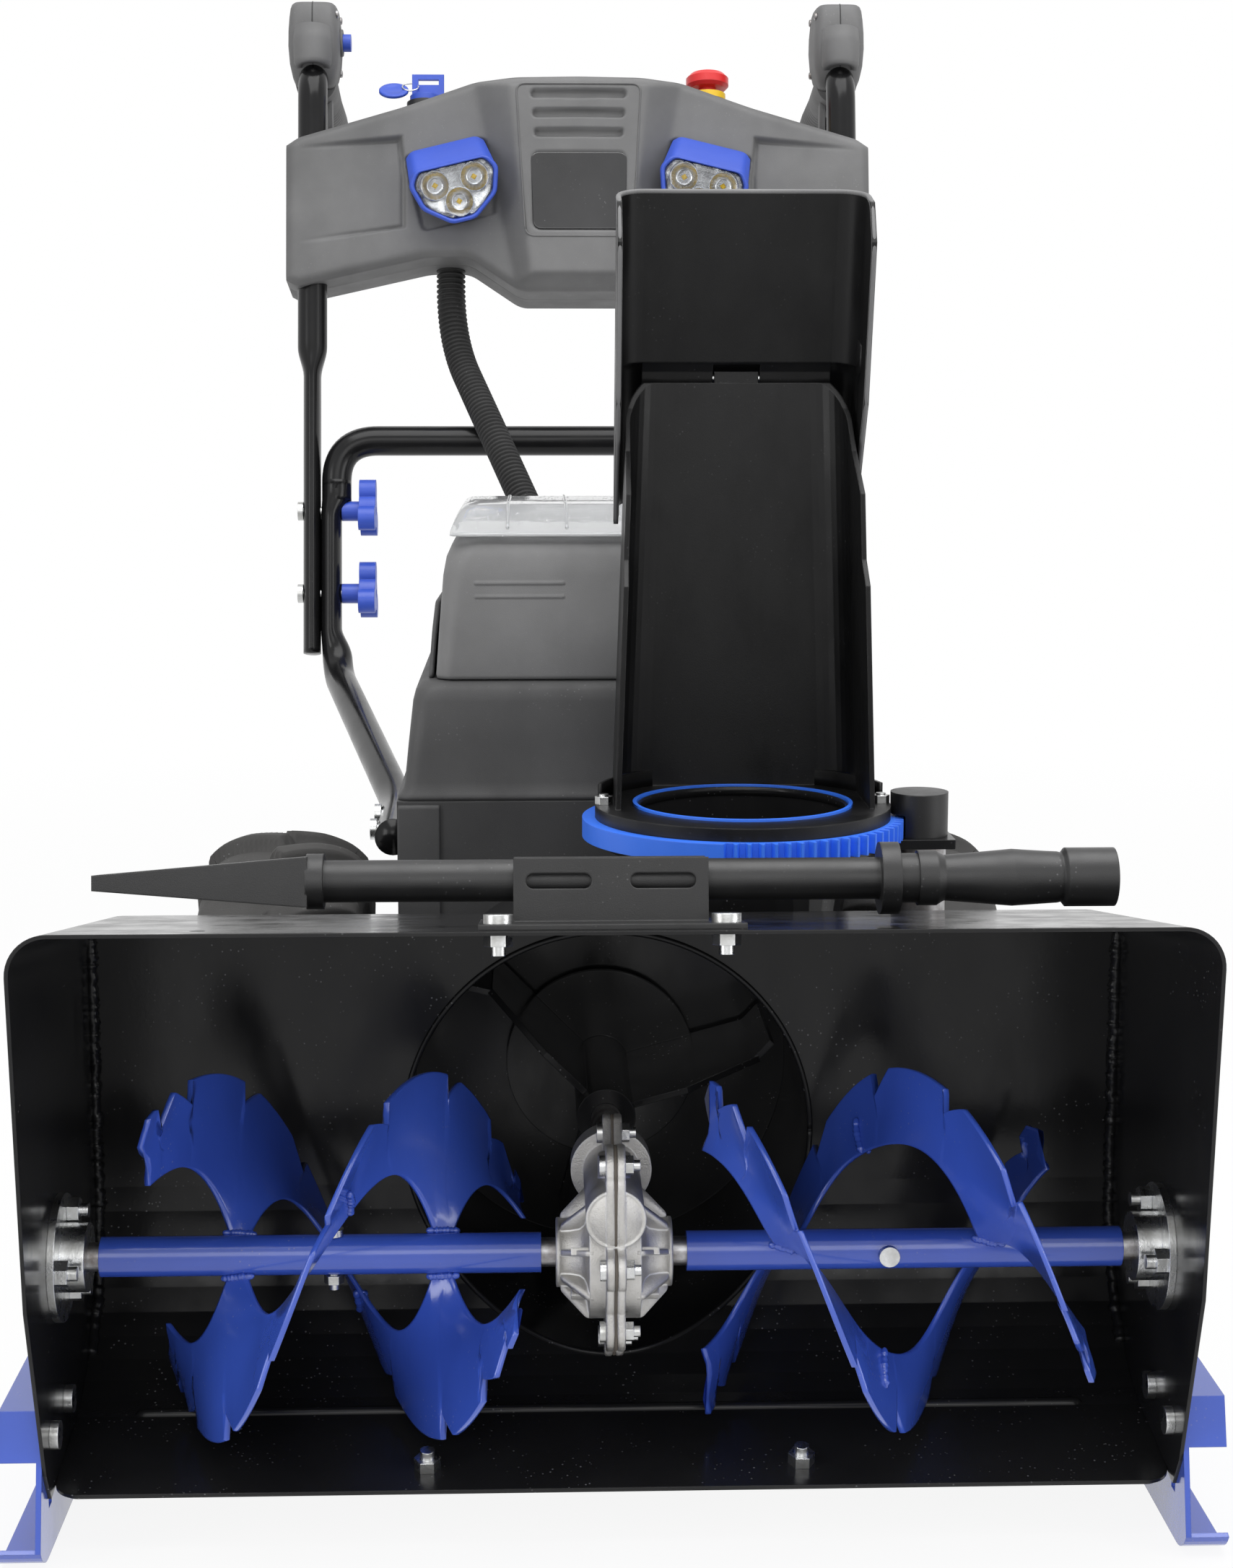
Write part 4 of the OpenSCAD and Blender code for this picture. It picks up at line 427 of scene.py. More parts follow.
def make_stage():
    """Floor grid, world and lamps. The floor shows near white and is darkened only by the object's shadow."""
    material, tree = new_material("pale_floor")
    away = add(tree, "VectorMath", {0: object_place(tree)}, operation="LENGTH").outputs["Value"]
    show = product(tree, seen_rays(tree), ranged(tree, away, 0.9, 2.4, 0.9, 1.0))
    mat = add(tree, "BsdfDiffuse", {"Color": (0.86, 0.86, 0.86, 1)})
    glow = add(tree, "Emission", {"Color": (1, 1, 1, 1), "Strength": 1.0})
    close(tree, add(tree, "MixShader", {0: show, 1: mat.outputs[0], 2: glow.outputs[0]}))
    reach = np.linspace(-FLOOR_HALF, FLOOR_HALF, FLOOR_LINES)
    x, y = np.meshgrid(reach, reach, indexing="xy")
    mesh = bpy.data.meshes.new("floor")
    mesh.from_pydata(np.stack([x, y, np.full_like(x, FLOOR_Z)], -1).reshape(-1, 3).tolist(), [],
                     grid_faces(FLOOR_LINES, FLOOR_LINES, False).tolist())
    mesh.materials.append(material)
    floor = bpy.data.objects.new("floor", mesh)
    scene.collection.objects.link(floor)

    world = bpy.data.worlds.new("white_surround")
    scene.world = world
    world.use_nodes = True
    tree = world.node_tree
    tree.nodes.clear()
    strength = ranged(tree, seen_rays(tree), 0, 1, 0.45, 1.0)
    shine = add(tree, "Background", {"Color": (1, 1, 1, 1), "Strength": strength})
    tree.links.new(shine.outputs[0], add(tree, "OutputWorld").inputs["Surface"])

    for name, place, aim, size, power in SOFTBOXES:
        lamp = bpy.data.lights.new(name, "AREA")
        lamp.shape = "RECTANGLE"
        lamp.size, lamp.size_y = size
        lamp.energy = power
        carrier = bpy.data.objects.new(name, lamp)
        carrier.location = place
        way = np.array(aim) - np.array(place)
        carrier.rotation_euler = (math.acos(-way[2] / np.linalg.norm(way)), 0, math.atan2(way[1], way[0]) - math.pi / 2)
        scene.collection.objects.link(carrier)
    scene.view_settings.view_transform = "Standard"


make_stage()

# Places that several pieces share
HALF_L = 0.7
HANDLE_FOOT = (1.056 - HALF_L, 0.368)
HANDLE_LEAN = math.radians(12.6)


def on_handle(points):
    """Points in the leaning handle's own frame, carried into the row frame."""
    p = np.asarray(points, float)
    c, s = math.cos(HANDLE_LEAN), math.sin(HANDLE_LEAN)
    return np.stack([p[..., 0], HANDLE_FOOT[0] + p[..., 1] * c + p[..., 2] * s,
                     HANDLE_FOOT[1] - p[..., 1] * s + p[..., 2] * c], -1)


# Ribbed conduit
CONDUIT_D = 0.027
RIB_PITCH = 0.0048
RIB_DEPTH = 0.0026
RIB_FLAT = 2.2
RIB_ROWS = 8
CONDUIT_LEG = 0.05
CONDUIT_TOP = on_handle((-0.119, 0.031, 0.3797))
CONDUIT_FOOT = np.array([0.040, 0.704 - HALF_L, 0.335])
CONDUIT_CORNERS = [CONDUIT_TOP, CONDUIT_TOP - 0.066 * np.array([0, math.sin(HANDLE_LEAN), math.cos(HANDLE_LEAN)]),
                   CONDUIT_FOOT + np.array([0, 0.090, 0]), CONDUIT_FOOT]


def rounded_route(corners, leg, step):
    """A route of straight runs whose corners are eased: from a leg before each corner to a leg after it, the route
    is the parabola that touches both runs. Returned as points one step apart."""
    line = [corners[0][None]]
    for before, corner, after in zip(corners, corners[1:], corners[2:]):
        a, c = corner + leg * unit(before - corner), corner + leg * unit(after - corner)
        t = np.linspace(0, 1, 60)[:, None]
        line.append((1 - t) ** 2 * a + 2 * t * (1 - t) * corner + t * t * c)
    line = np.vstack([*line, corners[-1][None]])
    reach = np.concatenate([[0], np.cumsum(np.linalg.norm(np.diff(line, axis=0), axis=1))])
    at = np.linspace(0, reach[-1], int(round(reach[-1] / step)) + 1)
    return np.stack([np.interp(at, reach, line[:, k]) for k in range(3)], -1), reach[-1]


def make_conduit():
    """Corrugated tube: the radius falls from its crest to its valley once a pitch, as a flattened cosine."""
    path, length = rounded_route(CONDUIT_CORNERS, CONDUIT_LEG, RIB_PITCH / RIB_ROWS)
    wave = np.cos(2 * math.pi * np.arange(len(path)) / RIB_ROWS)
    radii = CONDUIT_D / 2 - RIB_DEPTH / 2 * (1 - np.tanh(RIB_FLAT * wave) / math.tanh(RIB_FLAT))
    points, faces = swept_tube(path, radii, 20)
    hose = make_piece("conduit_hose", points, faces, "machine", rubber, "rubber")
    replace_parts(hose, "conduit")


make_conduit()

# Auger flights: a ribbon is a helicoid strip of sheet with rounded edges
AUGER_AXIS = np.array([0, 0.102 - HALF_L, 0.153])
AUGER_R = 0.100
TUBE_R = 0.0113
FLIGHT_X0 = 0.050
FLIGHT_RUN = 0.200
FLIGHT_SWEEP = math.radians(300)
FLIGHT_T = 0.003
FLIGHT_ROWS = 421
ARCH_R = 0.057
ARM_PLACES = (0.22, 0.78)
ARM_HALF = 0.21
ARM_FOOT = 0.022
# Place along the flight and slope of each notch
NOTCHES = ((0.033, 1), (0.10, -1), (0.215, -1), (0.36, 1), (0.50, 1), (0.645, 1), (0.79, -1), (0.90, 1), (0.967, -1))
NOTCH_W = 0.034
NOTCH_DEPTH = 0.014
BEAD_SIDES = 9


def flight_point(t, r, start, side, off):
    """Point of a flight: t of the way along its helix, at radius r, off along the axle; side is -1 left, 1 right."""
    a = start + FLIGHT_SWEEP * t
    x = side * (FLIGHT_X0 + FLIGHT_RUN * t + off)
    return np.stack(np.broadcast_arrays(x, AUGER_AXIS[1] + r * np.cos(a), AUGER_AXIS[2] + r * np.sin(a)), -1)


def flight_inner(t):
    """Inner edge: wide arches, which fall to the tube along each arm's two hollow sides."""
    far = np.min([np.abs(t - a) for a in ARM_PLACES], axis=0)
    dip = np.clip(1 - (far - ARM_FOOT) / ARM_HALF, 0, 1)
    return ARCH_R - (ARCH_R - TUBE_R) * dip ** 2.8


def flight_outer(t):
    """Outer edge: the full radius less saw-tooth notches, each steep on one side and sloping on the other."""
    cut = np.zeros_like(t)
    for place, way in NOTCHES:
        s = (t - place) * way / NOTCH_W
        cut = np.maximum(cut, np.where((s >= 0) & (s < 1), 1 - s, 0))
    return AUGER_R - 0.0005 - NOTCH_DEPTH * cut


def flight_ribbon(start, side):
    """Ribbon: rows along the helix, columns round the strip's section; its ends are cut wavy and its face is dished."""
    rows = np.linspace(0, 1, FLIGHT_ROWS)[:, None]
    face = np.array([0.006, 0.03, 0.12, 0.25, 0.4, 0.55, 0.7, 0.84, 0.94, 0.985, 0.996])
    v = np.concatenate([face, [1.0], face[::-1], [0.0]])[None, :]
    h = np.concatenate([np.ones(len(face)), [0], -np.ones(len(face)), [0]])[None, :]
    wavy = 0.016 * (0.5 - 0.5 * np.cos(3 * math.pi * v)) * (0.6 + 0.4 * v)
    t = wavy + (1 - 2 * wavy) * rows
    inner = flight_inner(t)
    r = inner + (flight_outer(t) - inner) * v
    return lofted(flight_point(t, r, start, side, h * FLIGHT_T / 2 + 0.0015 * np.sin(math.pi * v)))


def weld_bead(path, radius, seed):
    """Weld bead: a tube along a path whose radius ripples with each drop of the weld."""
    k = np.arange(len(path))
    ripple = 1 + 0.16 * np.sin(2.1 * k + seed) + 0.10 * np.sin(0.73 * k + 2.0 * seed)
    radii = radius * ripple * np.clip(np.minimum(k + 1, len(path) - k) / 3.0, 0.35, 1)
    return swept_tube(path, radii, BEAD_SIDES)


def flight_welds(start, side):
    """Beads along both sides of each arm's foot, and a lumpy seam across the ribbon half way along."""
    parts = []
    for place in ARM_PLACES:
        t = np.linspace(place - 0.036, place + 0.036, 22)
        parts += [weld_bead(flight_point(t, 0.0124, start, side, off), 0.0019, place * 9 + off * 900)
                  for off in (-0.002, 0.002)]
    r = np.linspace(ARCH_R, AUGER_R - NOTCH_DEPTH - 0.006, 22)
    parts += [weld_bead(flight_point(0.46 + 0.004 * np.sin(r * 150), r, start, side, off), 0.0021, 4.0 + off * 900)
              for off in (-0.0012, 0.0030)]
    return joined(parts)


def make_flights():
    """Two ribbons a side, of opposite hand, with their welds."""
    for name, side, starts in (("flights_left", -1, (0, 180)), ("flights_right", 1, (90, 270))):
        parts = [flight_ribbon(math.radians(a), side) for a in starts]
        piece = make_piece(name + "_ribbons", *joined(parts), "auger", blue_enamel, "blue_paint")
        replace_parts(piece, name)
        make_piece(name + "_welds", *joined([flight_welds(math.radians(a), side) for a in starts]), "auger",
                   blue_enamel, "blue_paint")


make_flights()

# Console and lamps: height fields over the shells' outline, in the handle's own frame
CONSOLE_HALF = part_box("console_front")[1][0]
CONSOLE_FRONT = -0.024
CONSOLE_SPLIT = 0.010
CONSOLE_REAR = 0.052
NOSE_RISE = 0.022
EDGE_ROUND = 0.008
CONSOLE_COLS = 341
CONSOLE_ROWS = 133
TOP_EDGE = np.array([[0, 549], [58, 548], [95, 543], [160, 520], [CONSOLE_HALF / MM - 8, 490],
                     [CONSOLE_HALF / MM, 482]]) * MM
LOW_EDGE = np.array([[0, 348], [54, 348], [101, 380], [138, 380], [CONSOLE_HALF / MM - 8, 352],
                     [CONSOLE_HALF / MM, 360]]) * MM
LAMP_X = 0.112
LAMP_Z = 0.436
LAMP_TURN = math.radians(14)
LAMP_NOD = math.radians(18)
LAMP_FRONT = CONSOLE_FRONT - 0.040
# Height and half length of each slot above the pane
SLOTS = ((0.488, 0.0410), (0.506, 0.0425), (0.524, 0.0440))
SLOT_HALF = 0.0042
CONSOLE_SCREWS = ((0.242, 0.445), (0.150, 0.408), (0.150, 0.500), (0.0, 0.372), (0.062, 0.528))


def softened(field, times):
    """Field whose creases are eased: each time, a value becomes a quarter of each neighbour and half of itself."""
    for _ in range(times):
        p = np.pad(field, 1, mode="edge")
        p = (p[:-2] + 2 * p[1:-1] + p[2:]) / 4
        field = (p[:, :-2] + 2 * p[:, 1:-1] + p[:, 2:]) / 4
    return field


def inside(x, z, half, low, high, corner):
    """How far (x, z) lies inside a box with round corners; negative outside."""
    mid, tall = (low + high) / 2, (high - low) / 2
    qx, qz = np.abs(x) - half + corner, np.abs(z - mid) - tall + corner
    return corner - np.hypot(np.maximum(qx, 0), np.maximum(qz, 0)) - np.minimum(np.maximum(qx, qz), 0)


def lamp_frame(x, z):
    """Across and up, in the turned frame of the lamp on that side."""
    c, s = math.cos(LAMP_TURN), math.sin(LAMP_TURN)
    u, w = LAMP_X - np.abs(x), z - LAMP_Z
    return u * c + w * s, -u * s + w * c


def round_border(x, z, low, high):
    """Rise of the console's border: a quarter circle that ends level with the face, EDGE_ROUND inside the outline."""
    d = np.minimum(np.minimum((high - z) * 0.95, (z - low) * 0.9), CONSOLE_HALF - np.abs(x))
    d = np.clip(d, 0, EDGE_ROUND)
    return np.sqrt(EDGE_ROUND ** 2 - (EDGE_ROUND - d) ** 2) - EDGE_ROUND


def console_height(x, z, low, high):
    """Rise of the console's face: its border, the nose's sloping sides, sunk wings, lamp seats, slots and a pane."""
    across = np.abs(x)
    rise = round_border(x, z, low, high)
    # Nose: half widths at its foot and at its front, both growing upwards
    broad = 0.058 + 0.038 * (z - 0.350) / 0.192
    narrow = 0.044 + 0.020 * (z - 0.356) / 0.184
    side = ramp(broad - across, broad - narrow)
    ends = np.clip(np.minimum((high - 0.002 - z) / 0.012, (z - low - 0.001) / 0.008), 0, 1)
    rise = rise + NOSE_RISE * np.minimum(side, ends)
    # Wings: sunk behind three edges with a low bead, fading towards the console's ends
    edge = np.minimum(np.minimum(across - 0.158 - 0.10 * np.maximum(0, z - 0.455), 0.492 - 0.10 * (across - 0.16) - z),
                      z - 0.405 + 0.16 * (across - 0.16))
    wing = ramp(edge, 0.003) + 0.45 * np.exp(-((edge - 0.003) / 0.0016) ** 2)
    fade = ramp(CONSOLE_HALF - 0.012 - across, 0.085)
    rise = softened(rise, 4) - 0.0050 * wing * fade
    seat = ramp(inside(*lamp_frame(x, z), 0.039, -0.026, 0.047, 0.006), 0.002)
    rise -= 0.004 * seat * ramp(across - 0.075, 0.004)
    for place, half in SLOTS:
        rise -= 0.005 * ramp(inside(x, z, half, place - SLOT_HALF, place + SLOT_HALF, SLOT_HALF), 0.0012)
    return rise - 0.0022 * ramp(inside(x, z, 0.0435, 0.397, 0.471, 0.008), 0.0012)


def console_rear_height(x, z, low, high):
    """Rise of the console's back: its border, a broad sunk panel with ribs, and a sunk seat for each screw."""
    rise = round_border(x, z, low, high)
    panel = ramp(inside(x, z, 0.128, 0.398, 0.516, 0.012), 0.003)
    ribs = np.clip(2.5 * np.cos((z - 0.457) * 2 * math.pi / 0.014) - 1.2, 0, 1)
    ribs = ribs * ramp(inside(x, z, 0.100, 0.412, 0.502, 0.006), 0.002)
    rise += 0.0016 * ribs - 0.0030 * panel
    for sx, sz in CONSOLE_SCREWS:
        rise -= 0.0030 * ramp(0.0066 - np.hypot(np.abs(x) - sx, z - sz), 0.0012)
    return rise


def console_shell(face_y, way, rise_of):
    """Grid of columns across and rows from the lower to the upper edge, closed by a band and a back at the split."""
    x = np.linspace(-CONSOLE_HALF, CONSOLE_HALF, CONSOLE_COLS)
    ease = np.ones(9) / 9
    edges = [np.convolve(np.pad(np.interp(np.abs(x), e[:, 0], e[:, 1]), 4, mode="edge"), ease, "valid")
             for e in (LOW_EDGE, TOP_EDGE)]
    low, high = (e[None, :] for e in edges)
    v = np.linspace(0, 1, CONSOLE_ROWS)[:, None]
    grid_x = np.broadcast_to(x[None, :], (CONSOLE_ROWS, CONSOLE_COLS))
    grid_z = low + (high - low) * v
    face = np.stack([grid_x, face_y + way * rise_of(grid_x, grid_z, low, high), grid_z], -1)
    index = np.arange(grid_x.size).reshape(grid_x.shape)
    loop = np.concatenate([index[0, :-1], index[:-1, -1], index[-1, :0:-1], index[:0:-1, 0]])
    border = face.reshape(-1, 3)[loop]
    band = [np.stack([border[:, 0], np.full(len(border), y), border[:, 2]], -1)
            for y in (face_y - way * (EDGE_ROUND + 0.001), CONSOLE_SPLIT + way * 0.0012)]
    band.append(border * [0.996, 0, 1] + [0, CONSOLE_SPLIT + way * 0.0001, 0])
    points = np.vstack([face.reshape(-1, 3), *band])
    rings = np.vstack([loop] + [index.size + k * len(loop) + np.arange(len(loop)) for k in range(3)])
    faces = [tuple(f) for f in grid_faces(*index.shape, False)]
    nxt = np.roll(rings, -1, axis=1)
    for k in range(3):
        faces += [tuple(q) for q in np.stack([rings[k], rings[k + 1], nxt[k + 1], nxt[k]], -1)]
    faces.append(tuple(rings[3][::-1]))
    return facing_out(on_handle(points), faces)


def make_console():
    """Front and rear skins of the console and the screws that hold them together."""
    # The console's grey is partly its own colour and partly painted sheen.
    front = make_piece("console_front_skin", *console_shell(CONSOLE_FRONT, -1, console_height), "machine",
                       console_plastic_painted_sheen, "grey_plastic")
    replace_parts(front, "console_front")
    rear = make_piece("console_rear_skin", *console_shell(CONSOLE_REAR, 1, console_rear_height), "machine",
                      console_plastic_painted_sheen, "grey_plastic")
    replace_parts(rear, "console_rear")
    head = [(-0.0040, 0.0042), (-0.0014, 0.0042), (-0.0009, 0.0038), (-0.0009, 0.0018), (-0.0020, 0.0016),
            (-0.0020, 0.0003)]
    heads = [turned(head, np.array([side * sx, CONSOLE_REAR, sz]), (0, 1, 0), 18)
             for sx, sz in CONSOLE_SCREWS for side in ((-1, 1) if sx else (1,))]
    make_piece("console_screws", *joined([(on_handle(p), f) for p, f in heads]), "machine", bare_steel, "steel")


def eased_outline(corners, leg, count=7):
    """Closed outline whose corners are eased: each corner becomes the parabola that touches both its sides."""
    p = np.asarray(corners, float)
    a = p + leg * unit(np.roll(p, 1, axis=0) - p)
    b = p + leg * unit(np.roll(p, -1, axis=0) - p)
    t = np.linspace(0, 1, count)[None, :, None]
    return ((1 - t) ** 2 * a[:, None] + 2 * t * (1 - t) * p[:, None] + t * t * b[:, None]).reshape(-1, 2)


def ringed(outline, rows, centre=(0, 0), front=0.0):
    """An outline in x and z drawn in towards its centre: each row is (share of the outline, y from the front)."""
    c = np.asarray(centre, float)
    points = np.array([np.stack([c[0] + s * (outline[:, 0] - c[0]), np.full(len(outline), front + y),
                                 c[1] + s * (outline[:, 1] - c[1])], -1) for s, y in rows])
    return points.reshape(-1, 3), capped_faces(len(rows), len(outline))


LAMP_OUTLINE = np.array([[-34, 17], [34, 17], [42, 5], [35, -18], [11, -36], [-11, -36], [-35, -18], [-42, 5]]) * MM
LAMP_CUPS = ((-0.0180, 0.0005), (0.0180, 0.0005), (0.0, -0.0175))
CUP_R = 0.0122
SEAM_Z = 0.0168


def on_lamp(points, side):
    """Points of a lamp's own frame, nodded down about its front and carried to that side of the console."""
    c, s = math.cos(LAMP_NOD), math.sin(LAMP_NOD)
    back = points[:, 1] - LAMP_FRONT
    across, deep, up = points[:, 0], LAMP_FRONT + back * c - points[:, 2] * s, points[:, 2] * c + back * s
    c, s = math.cos(LAMP_TURN), math.sin(LAMP_TURN)
    return on_handle(np.stack([-side * (across * c - up * s - LAMP_X), deep, LAMP_Z + across * s + up * c], -1))


def both_lamps(name, parts, material, slot, smooth=True):
    """Shapes put on both lamps, those of the right one mirrored with their faces turned."""
    pairs = []
    for p, f in parts:
        pairs.append((on_lamp(p, -1), f))
        pairs.append((on_lamp(p, 1), [face[::-1] for face in f]))
    return make_piece(name, *joined(pairs), "machine", material, slot, smooth)


def make_lamps():
    """Lamp: a bezel with a rolled rim on a narrower body, a bright tray, three faceted cups with chips, and a lens."""
    outer = eased_outline(LAMP_OUTLINE, 0.005)
    drawn_up = outer * [0.90, 0.50] + [0, 0.026]
    bezel = ringed(outer, [(0.875, 0.0135), (0.885, 0.004), (0.90, 0.0012), (0.935, 0.0004), (0.97, 0.001),
                           (0.995, 0.004), (1.0, 0.008), (0.995, 0.018), (0.975, 0.0225), (0.86, 0.0245),
                           (0.82, 0.0255)], front=LAMP_FRONT)
    share = np.array([0, 0.04, 0.12, 0.5, 0.94, 1.0, 1.0])[:, None, None]
    shape = (outer * 0.985)[None] * (1 - share) + drawn_up[None] * share
    deep = LAMP_FRONT + np.array([0.0138, 0.0146, 0.017, 0.030, 0.045, 0.048, 0.062])[:, None]
    block = (np.stack([shape[..., 0], np.broadcast_to(deep, shape.shape[:2]), shape[..., 1]], -1).reshape(-1, 3),
             capped_faces(*shape.shape[:2]))
    seam_line = np.array([[-1, -1], [1, -1], [1, 1], [-1, 1]]) * [0.0005, 0.0006] + [0, SEAM_Z]
    seam = facing_out(*ringed(eased_outline(seam_line, 0.0002), [(1, 0.0065), (1, 0.0195)], (0, SEAM_Z), LAMP_FRONT))
    housing = both_lamps("lamp_bodies", [bezel, block, seam], blue_plastic, "blue_plastic")
    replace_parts(housing, "lamp_housings")
    tray = facing_out(*ringed(outer, [(0.87, 0.0115), (0.872, 0.011), (0.80, 0.0105), (0.5, 0.0108)],
                              front=LAMP_FRONT))
    q = np.linspace(0, 1, 9)
    dish = np.stack([0.0122 - 0.0082 * q ** 2, 0.0022 + (CUP_R - 0.0022) * q], -1)
    rim = [(0.0036, CUP_R + 0.0004), (0.0040, CUP_R + 0.0008), (0.0125, CUP_R + 0.0002)]
    chip = [(0.0096, 0.0004), (0.0098, 0.0021), (0.0106, 0.0030), (0.0122, 0.0032)]
    places = [np.array([x, LAMP_FRONT, z]) for x, z in LAMP_CUPS]
    cups = [turned(np.vstack([dish, rim]), place, (0, 1, 0), 20) for place in places]
    chips = [turned(chip, place, (0, 1, 0), 4) for place in places]
    both_lamps("lamp_cups", [tray, *cups], mirror_cup, "steel", smooth=False)
    both_lamps("lamp_chips", chips, collar_yellow, "yellow", smooth=False)
    points, faces = ringed(outer, [(0.5, 0.0032), (0.86, 0.0034), (0.872, 0.0030), (0.868, 0.0020), (0.80, 0.0014),
                                   (0.55, 0.0010), (0.25, 0.0008)], front=LAMP_FRONT)
    cover = both_lamps("lamp_lenses", [(points, [face[::-1] for face in faces])], lens_clear, "clear")
    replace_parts(cover, "clear_covers")


def make_console_pane():
    """Smoked pane on the console's nose, and the ridge that frames the pane and the slots."""
    nose = CONSOLE_FRONT - NOSE_RISE
    outline = eased_outline(np.array([[-41.5, 398.5], [41.5, 398.5], [44.2, 469.5], [-44.2, 469.5]]) * MM, 0.008)
    points, faces = ringed(outline, [(1.0, 0.0019), (1.0, 0.0009), (0.992, 0.0004), (0.985, 0.0003), (0.97, 0.0003),
                                     (0.5, 0.0003)], (0, 0.434), nose)
    make_piece("console_pane", *facing_out(on_handle(points), faces), "machine", smoked_pane, "clear")
    line = eased_outline(np.array([[-49, 392], [49, 392], [57, 533], [-57, 533]]) * MM, 0.009)
    line = np.vstack([line, line[:2]])
    path = np.stack([line[:, 0], np.full(len(line), nose - 0.0001), line[:, 1]], -1)
    make_piece("console_panel_ridge", *swept_tube(on_handle(path), 0.0008, 8), "machine", console_plastic_painted_sheen,
               "grey_plastic")


make_console()
make_lamps()
make_console_pane()

# Moulded covers: outlines with round corners, lofted upwards
CORNER_STEPS = 9
LID_HINGE = np.array([0, 0.695 - HALF_L, 0.438])
PANE_MM = 2.2


def round_rect(half, front, back, corner):
    """Outline in x and y of a box with round corners, half wide each side, from front to back."""
    a = np.linspace(0, math.pi / 2, CORNER_STEPS)
    arc = np.stack([np.cos(a), np.sin(a)], -1) * corner
    quarters = [np.array([[math.cos(q), math.sin(q)], [-math.sin(q), math.cos(q)]]) for q in np.arange(4) * math.pi / 2]
    mids = np.array([[half - corner, back - corner], [corner - half, back - corner],
                     [corner - half, front + corner], [half - corner, front + corner]])
    return np.vstack([m + arc @ q for m, q in zip(mids, quarters)])


def lofted_box(rows, closed=False):
    """Skin through rows of (half width, front, back, height, corner), in mm; closed joins the last row to the first."""
    points = np.array([np.column_stack([o, np.full(len(o), z)]) for o, z in
                       ((round_rect(h, f - HALF_L / MM, b - HALF_L / MM, r), z) for h, f, b, z, r in rows)]) * MM
    faces = looped_faces(*points.shape[:2]) if closed else capped_faces(*points.shape[:2])
    return facing_out(points.reshape(-1, 3), faces)


def ring_plate(outer, inner, x0, x1):
    """Plate between x0 and x1 with one hole: outer and inner outlines in y and z with the same number of points."""
    loops = [np.column_stack([np.full(len(o), x), o]) for o, x in ((outer, x0), (outer, x1), (inner, x1), (inner, x0))]
    return facing_out(np.vstack(loops), looped_faces(len(loops), len(outer)))


def make_hood():
    """Hood: a flared foot, leaning walls and an eased top edge; two lugs with holes carry the lid's hinge."""
    skin = lofted_box([(133.6, 418.4, 703.6, 353.2, 10), (133.8, 418.2, 703.8, 355.5, 10),
                       (132.2, 419.4, 703, 357.5, 10), (130.2, 421.2, 702, 360.5, 10), (129, 422.6, 701.3, 365, 10),
                       (126.5, 426, 700.4, 390, 11), (123.4, 430.4, 699.4, 418, 12), (121.6, 432.6, 698.8, 425, 13),
                       (118, 436.6, 696, 429.4, 14), (112, 442, 692, 430.9, 14)])
    y, z = np.cos(turns(24)), np.sin(turns(24))
    outline = np.stack([np.clip(1.35 * y, -1, 1) * 0.006,
                        np.where(z > 0, z * 0.006, np.clip(1.6 * z, -1, 0) * 0.0075)], -1)
    hole = np.stack([y, z], -1) * 0.0032
    lugs = [ring_plate(LID_HINGE[1:] + outline, LID_HINGE[1:] + hole, s * 0.062, s * 0.070) for s in (-1, 1)]
    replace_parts(make_piece("hood_cover", *joined([skin, *lugs]), "machine", hood_plastic, "black_plastic"), "hood")


def make_lid():
    """Battery lid: one wall carried up, over the eased rim, into the window's opening and down the inside."""
    rows = [(107.8, 440.4, 685.8, 431.8, 12), (108.2, 440, 686, 434, 12), (105.6, 444.2, 682.6, 470, 13),
            (103.2, 448.3, 679.2, 500, 15), (101, 452, 676.4, 512, 17), (97.4, 456.4, 672.6, 520, 18),
            (92.4, 461.6, 668, 524.2, 18), (89.5, 465, 665, 525.2, 17), (87.4, 467.6, 662.6, 524.6, 15),
            (87, 468, 662.2, 522.6, 15), (92, 462, 667.6, 520.6, 15), (96.4, 456.8, 672, 515.6, 14),
            (99.2, 452.4, 675.4, 500, 12), (102.2, 447.6, 679.2, 470, 11), (104.8, 443.4, 682.8, 431.8, 10)]
    wall = lofted_box(rows, closed=True)
    barrel = [(-0.061, 0.0052), (-0.0606, 0.0055), (0.0606, 0.0055), (0.061, 0.0052)]
    pin = [(-0.069, 0.0027), (-0.0686, 0.003), (0.0686, 0.003), (0.069, 0.0027)]
    arm = lofted_box([(15, 680, 692, z, 2) for z in (434.2, 434.8, 441.2, 441.8)])
    arms = [beside(arm, x) for x in (-0.035, 0.035)]
    ribs = [lofted_box([(30, 446.6 - k, 452, 484.2 + 9 * j, 1.6), (30.6, 444.6 - k, 452, 485.4 + 9 * j, 1.8),
                        (30.6, 445 - k, 452, 487.2 + 9 * j, 1.8), (30, 447.4 - k, 452, 488.4 + 9 * j, 1.6)])
            for j, k in ((0, -1.4), (1, -2.5))]
    ribs = [beside(rib, x) for rib in ribs for x in (-0.052, 0.052)]
    parts = [wall, turned(barrel, LID_HINGE, (1, 0, 0), 24), turned(pin, LID_HINGE, (1, 0, 0), 20), *arms, *ribs]
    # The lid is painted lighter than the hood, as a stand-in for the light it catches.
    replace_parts(make_piece("lid_cover", *joined(parts), "lid_set", lid_plastic_painted_sheen, "black_plastic"), "battery_lid")


